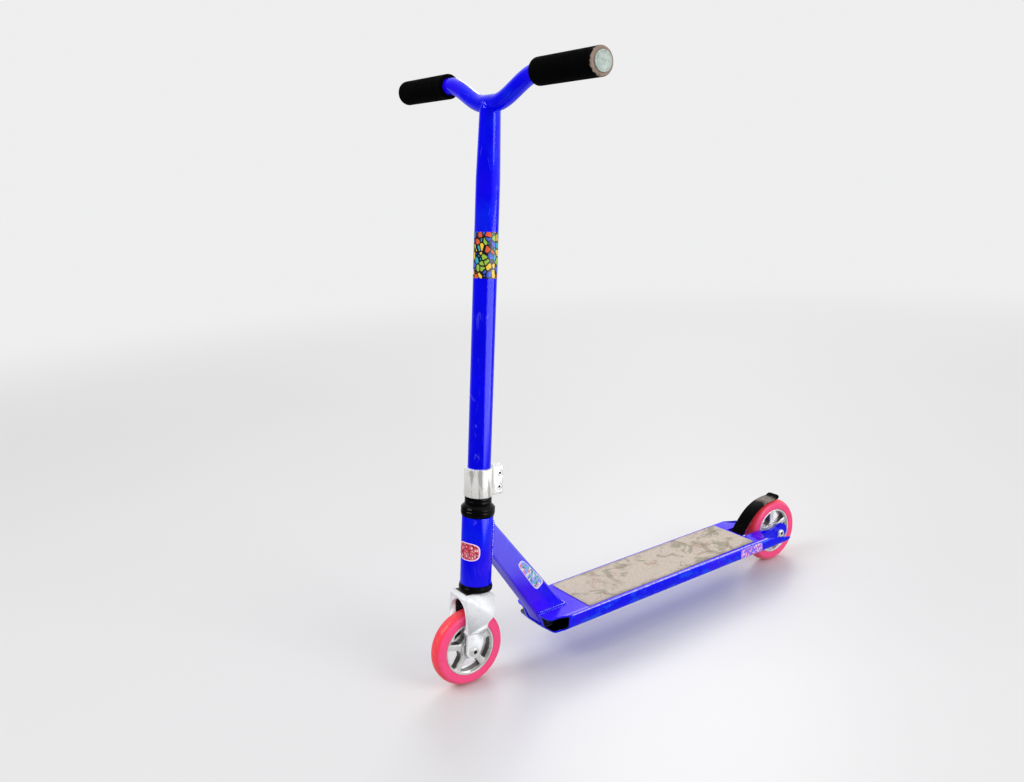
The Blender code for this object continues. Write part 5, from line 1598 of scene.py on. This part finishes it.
@dataclass
class Milled:
    """Rounded copies of the milled and forged nodes."""

    merged: float = 2e-6
    flat: float = math.radians(0.6)
    bevelled: float = math.radians(28.0)
    segments: int = 3

    def build(self) -> None:
        """Add the deck, neck, fork and clamp."""
        self.add("deck", "deck_skin", DECK_BLUE, "deck_frame", 0.0006)
        self.add("neck", "neck_skin", NECK_BLUE, "deck_frame", 0.0010)
        self.add("fork", "fork_skin", FORGED, "steering", 0.0009, ForkArch().mend)
        self.add("bar_clamp", "clamp_skin", CLAMP_ALLOY, "steering", 0.0006)

    def add(self, node: str, name: str, finish: Finish, body: str, edge: float,
            mend: Optional[Callable[[bmesh.types.BMesh], None]] = None) -> None:
        """Add a copy whose doubled points are merged, its flat facets joined, its edges round.

        Args:
            node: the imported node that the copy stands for.
            name: the copy's name.
            finish: what it is finished in.
            body: the body that it moves with.
            edge: width of its live Bevel modifier.
            mend: what smooths its curved faces before the facets are joined.
        """
        shape = bmesh.new()
        shape.from_mesh(frame["nodes"][node].data)
        bmesh.ops.remove_doubles(shape, verts=shape.verts, dist=self.merged)
        if mend is not None:
            mend(shape)
        bmesh.ops.dissolve_limit(shape, angle_limit=self.flat, verts=shape.verts,
                                 edges=shape.edges)
        mesh = bpy.data.meshes.new(name)
        shape.to_mesh(mesh)
        shape.free()
        bevel = settle(name, mesh, finish, body, node, 60.0).modifiers.new("round_edges", "BEVEL")
        bevel.width = edge
        bevel.segments = self.segments
        bevel.limit_method = "ANGLE"
        bevel.angle_limit = self.bevelled
        bevel.use_clamp_overlap = True
        bevel.harden_normals = True


@dataclass
class ClampBolts:
    """The clamp's two socket bolts."""

    back: float = 0.0285
    upper: float = 0.24925
    lower: float = 0.22965
    head_radius: float = 0.0045
    head_height: float = 0.0036
    shank_radius: float = 0.0030
    seat: float = 0.0056
    end: float = -0.0086

    def build(self) -> None:
        """Add the bolts."""
        bolt = socket_head(self.head_radius, self.head_height, self.shank_radius, self.seat,
                           self.end)
        for word, height in (("upper", self.upper), ("lower", self.lower)):
            add_piece(f"clamp_bolt_skin_{word}", [bolt], ZINC, "steering",
                      f"clamp_bolt_{word}", STEERING.leftward(self.back, height))


@dataclass
class FrameTrim:
    """Weld beads between head tube, neck and deck, and printed films on all three."""

    tube_radius: float = HEAD_TUBE_RADIUS
    neck_half: float = 0.0160
    front_foot: float = -0.2060
    rear_foot: float = -0.1540
    front_lean: float = math.radians(31.8)
    rear_lean: float = math.radians(35.7)
    top_bead: Tuple[float, float] = (0.0021, 0.0026)
    foot_bead: Tuple[float, float] = (0.0026, 0.0030)
    deck_top: float = DECK_TOP
    deck_half: float = DECK_HALF
    upper_corner: float = 0.0020
    side_flat: float = 0.0132
    lower_corner: float = 0.0075
    lift: float = 0.00012
    tube_spot: Tuple[float, float] = (math.radians(-72.0), 0.1436)
    tube_patch: Point = (0.0400, 0.0255, 3.0)
    neck_spot: Tuple[float, float] = (0.0100, 0.0890)
    neck_patch: Point = (0.0150, 0.0580, 5.0)
    neck_spread: float = 0.120
    deck_spot: Tuple[float, float] = (0.2150, 0.0095)
    deck_patch: Point = (0.0520, 0.0175, 6.0)

    def build(self) -> None:
        """Add the beads, then the films; a film's texture places run from middle to rim."""
        add_piece("neck_top_weld", [self.top_weld()], BEAD_BLUE, "deck_frame")
        add_piece("neck_foot_weld", [self.foot_weld()], BEAD_BLUE, "deck_frame")
        for name, lay, patch, finish in (
                ("head_tube_film", self.on_head_tube, self.tube_patch, HEAD_PATCH),
                ("neck_film", self.on_neck, self.neck_patch, NECK_PATCH),
                ("deck_side_film", self.on_deck, self.deck_patch, DECK_PATCH)):
            grid = lay(self.patch(*patch))
            outward = np.linspace(0.0, 1.0, len(grid))[:, None] * np.ones(grid.shape[1])
            places = np.stack([outward, np.zeros_like(outward)], axis=-1)
            add_piece(name, [grid_surface(grid, places=places)], finish, "deck_frame")

    def seam(self, foot: float, lean: float) -> Array:
        """Return the line where a sloping face of the neck meets the head tube.

        The tube's skin at across is k = sqrt(r^2 - across^2) behind the axis; the face is
        y + (z - deck top) tan(lean) = foot, which is linear in the height up the tube.

        Args:
            foot: where the face meets the deck's top.
            lean: how far it leans forwards.

        Returns:
            The line's points in the steering axis's frame, from right to left.
        """
        across = np.linspace(-self.neck_half, self.neck_half, 60)
        behind = np.sqrt(self.tube_radius ** 2 - across ** 2)
        slope = math.tan(lean)
        skin = STEERING.place(np.stack([0 * across, behind, 0 * across], axis=1))
        rest = foot - skin[:, 1] - (skin[:, 2] - self.deck_top) * slope
        return np.stack([across, behind, rest / (LEAN_SIN + LEAN_COS * slope)], axis=1)

    def top_weld(self) -> Surface:
        """Return the bead round the neck's top, along the head tube's skin."""
        ring = np.vstack([self.seam(self.front_foot, self.front_lean),
                          self.seam(self.rear_foot, self.rear_lean)[::-1]])
        return weld_bead(ring, *self.top_bead, (0.0, 1.0, 0.0)).placed(STEERING)

    def foot_weld(self) -> Surface:
        """Return the bead round the neck's foot, open at the front."""
        half, front = self.neck_half + 0.0008, self.front_foot + 0.001
        corners = oblong(front, self.rear_foot, -half, half)
        path = np.array([(across, back, self.deck_top) for back, across in corners])
        return weld_bead(path, *self.foot_bead, (0.0, 0.0, 1.0), closed=False)

    @staticmethod
    def patch(width: float, height: float, power: float) -> Array:
        """Return a rounded patch.

        Args:
            width: size along the first coordinate.
            height: size along the second.
            power: n of the rings' curve |u|^n + |v|^n = s^n.

        Returns:
            Places as (rows, columns, 2), a ring to a row, s from 0 to 1.
        """
        turn = turns(72)
        across, along = np.cos(turn), np.sin(turn)
        size = (np.abs(across) ** power + np.abs(along) ** power) ** (-1.0 / power)
        share = np.linspace(0.0, 1.0, 16)[:, None] * size
        return np.stack([share * across * width / 2, share * along * height / 2], axis=-1)

    def on_head_tube(self, patch: Array) -> Array:
        """Lay a patch round the head tube's left front: its first coordinate runs round."""
        radius = self.tube_radius + self.lift
        turn, rise = self.tube_spot[0] + patch[..., 0] / radius, self.tube_spot[1] + patch[..., 1]
        return STEERING.place(polar(radius, turn, rise))

    def on_neck(self, patch: Array) -> Array:
        """Lay a patch on the neck's left side, along its rear edge, a little wider low down."""
        spread = 1.0 - patch[..., 1] / self.neck_spread
        inset = self.neck_spot[0] + patch[..., 0] * spread
        rise = self.neck_spot[1] + patch[..., 1]
        slope_sin, slope_cos = math.sin(self.rear_lean), math.cos(self.rear_lean)
        return np.stack([np.full(rise.shape, self.neck_half + self.lift),
                         self.rear_foot - rise * slope_sin - inset * slope_cos,
                         self.deck_top + rise * slope_cos - inset * slope_sin], axis=-1)

    def on_deck(self, patch: Array) -> Array:
        """Lay a patch on the deck's left side, down its flat and round its lower corner."""
        run = self.deck_spot[1] - patch[..., 1]
        turn = np.clip((run - self.side_flat) / self.lower_corner, 0.0, None)
        radius = self.lower_corner + self.lift
        flat = np.minimum(run, self.side_flat)
        return np.stack([self.deck_half - self.lower_corner + radius * np.cos(turn),
                         self.deck_spot[0] + patch[..., 0],
                         self.deck_top - self.upper_corner - flat - radius * np.sin(turn)],
                        axis=-1)


def dress_nodes() -> None:
    """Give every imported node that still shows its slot's finish."""
    by_slot = {finish.slot: finish for finish in (BLUE, BAR_BLUE, STEERER, ZINC, BLACK, STRIP,
                                                  RUBBER, PLASTIC, GRIT)}
    for row in frame["record"]["subparts"]:
        node = frame["nodes"][row["node"]]
        if node.hide_render:
            continue
        node.data.materials.clear()
        node.data.materials.append(by_slot[row["material_slot"]].material())
        log.info("%s keeps its packed shape", row["node"])


class Lamp(NamedTuple):
    """A round soft lamp."""

    name: str
    place: Point
    size: float
    power: float


@dataclass
class Studio:
    """Floor, light and camera."""

    lens: float = 33.0
    sensor: float = 36.0
    camera_place: Point = (1.0355, -0.9218, 0.7224)
    right: Point = (0.5715, 0.8191, -0.0497)
    up: Point = (-0.1729, 0.1794, 0.9685)
    back: Point = (0.8022, -0.5449, 0.2441)
    floor_radius: float = 9.0
    pale: Colour = (0.70, 0.695, 0.70)
    smudge: Colour = (0.62, 0.62, 0.63)
    backdrop: Colour = (0.86, 0.86, 0.865)
    daylight: float = 0.73
    bright_side: Point = (-0.18, 0.94, 0.30)
    # window, rear_way, window_light and near_floor shape the floor's painted glow for mirrored rays.
    window: Point = (0.90, 0.44, 0.0)
    rear_way: Point = (-0.83, 0.56, 0.0)
    window_light: float = 5.0
    near_floor: float = 0.45
    dim: float = 0.10
    dusk: Tuple[float, float] = (-0.35, 0.60)
    haze: Tuple[float, float] = (1.2, 3.8)
    aim: Point = (0.0, 0.0, 0.3)
    lamps: Tuple[Lamp, ...] = (Lamp("key", (-0.6, -2.4, 2.6), 1.8, 41.0),
                               Lamp("fill", (2.8, 0.8, 1.8), 2.0, 44.0),
                               Lamp("rear", (-1.8, 1.9, 2.2), 1.6, 26.0))

    def build(self) -> None:
        """Add everything that isn't the scooter."""
        self.add_camera()
        self.add_floor()
        self.add_lamps()
        self.set_world()
        bpy.context.scene.view_settings.view_transform = "Standard"

    def add_camera(self) -> None:
        """Put the camera where the photograph was taken from."""
        data = bpy.data.cameras.new("camera")
        data.lens = self.lens
        data.sensor_width = self.sensor
        data.sensor_fit = "HORIZONTAL"
        camera = add_object("camera", data)
        matrix = np.eye(4)
        matrix[:3] = np.column_stack([self.right, self.up, self.back, self.camera_place])
        camera.matrix_world = matrix.T.tolist()
        bpy.context.scene.camera = camera

    def add_floor(self) -> None:
        """Add a round pale floor that fades into the background."""
        reach = np.linspace(0.0, self.floor_radius, 24)[:, None]
        surface = grid_surface(polar(reach, turns(96), 0.0))
        mesh = bpy.data.meshes.new("floor")
        mesh.from_pydata(surface.points.tolist(), [], surface.faces[0].tolist())
        mesh.materials.append(self.floor_material())
        floor = add_object("floor", mesh)

    def floor_material(self) -> bpy.types.Material:
        """Return the floor's material: pale, faintly glossy, and lost in the haze far off.

        Mirrored rays see a painted glow instead of the lit floor: dim, brighter near the scooter and behind it,
        and bright on a stretch that paints a window's reflection.
        """
        graph = Graph(bpy.data.materials.new("pale_floor"))
        spot = graph.place()
        length = spot.vector("LENGTH")
        cloudy = spot.noise(1.4, 3.0).ramp(0.3, 0.8) * 0.12
        graph.dress(graph.layers(self.pale, (cloudy, self.smudge)), 0.38)
        facing, behind = (spot.vector("DOT_PRODUCT", way) / length
                          for way in (self.window, self.rear_way))
        window = facing.ramp(0.74, 0.90) * length.ramp(0.50, 0.95)
        near = length.ramp(0.90, 0.55) * (self.near_floor - self.dim)
        pale = behind.ramp(0.2, 0.8) * 0.5
        # For mirrored rays the floor glows: a painted reflection, with a bright stretch for a window.
        mirrored = window * self.window_light + near.most(pale) + self.dim
        path = graph.node("ShaderNodeLightPath", output="Is Glossy Ray")
        haze = length.ramp(*self.haze).most(path)
        strength = graph.node("ShaderNodeMix", {"data_type": "FLOAT"},
                              {0: path, 2: 1.0, 3: mirrored})
        glow = graph.node("ShaderNodeEmission", None, {"Color": (*self.backdrop, 1.0),
                                                       "Strength": strength})
        blend = graph.node("ShaderNodeMixShader", None,
                           {0: haze, 1: Signal(graph, graph.shader.outputs[0]), 2: glow})
        graph.put(graph.tree.nodes["Material Output"].inputs["Surface"], blend)
        return graph.owner

    def add_lamps(self) -> None:
        """Add a large soft key from the camera's left, a fill and a rear light."""
        for lamp in self.lamps:
            data = bpy.data.lights.new(lamp.name, "AREA")
            data.shape = "DISK"
            data.size = lamp.size
            data.energy = lamp.power
            made = add_object(lamp.name, data)
            made.location = lamp.place
            made.rotation_mode = "QUATERNION"
            made.rotation_quaternion = self.towards(np.array(self.aim) - np.array(lamp.place))

    @staticmethod
    def towards(aim: Array) -> Tuple[float, float, float, float]:
        """Return the turn that points a lamp's -Z along a direction."""
        aim = aim / np.linalg.norm(aim)
        rest = np.array([0.0, 0.0, -1.0])
        whole = np.concatenate([[1.0 + rest @ aim], np.cross(rest, aim)])
        return tuple((whole / np.linalg.norm(whole)).tolist())

    def set_world(self) -> None:
        """Light the scene evenly; the camera and mirrors see a paler background.

        The camera sees it even. Mirrored rays see it dark on the camera's side and full
        behind the scooter and to the camera's right.
        """
        graph = Graph(bpy.data.worlds.new("studio"))
        bpy.context.scene.world = graph.owner
        graph.tree.nodes.clear()
        camera, mirror = (graph.node("ShaderNodeLightPath", output=kind)
                          for kind in ("Is Camera Ray", "Is Glossy Ray"))
        facing = graph.place("Generated").vector("DOT_PRODUCT", self.bright_side)
        seen = facing.ramp(*self.dusk, self.dim).most(camera)
        strength = graph.node("ShaderNodeMapRange", None,
                              {0: camera.most(mirror), 3: self.daylight, 4: seen})
        shade = graph.node("ShaderNodeBackground", None, {"Color": (*self.backdrop, 1.0),
                                                          "Strength": strength})
        output = graph.tree.nodes.new("ShaderNodeOutputWorld")
        graph.put(output.inputs["Surface"], shade)


def corners(box: Tuple[Sequence[float], Sequence[float]]) -> List[List[float]]:
    """Return a box's corners as plain lists."""
    return [[float(value) for value in corner] for corner in box]


def main() -> None:
    """Build the looks and write how large the result is."""
    logging.basicConfig(level=logging.INFO, format="%(name)s: %(message)s")
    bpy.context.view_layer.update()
    for part in (Studio(), Wheel("front"), Wheel("rear"),
                 Axle("front", "steering", 0.0145, 0.0189),
                 Axle("rear", "deck_frame", 0.0190, 0.0240), Stack(), Handlebar(),
                 Grip(Side.LEFT), Grip(Side.RIGHT), BrakeStrip(), Milled(), ClampBolts(),
                 FrameTrim()):
        part.build()
    dress_nodes()


if __name__ == "__main__":
    main()
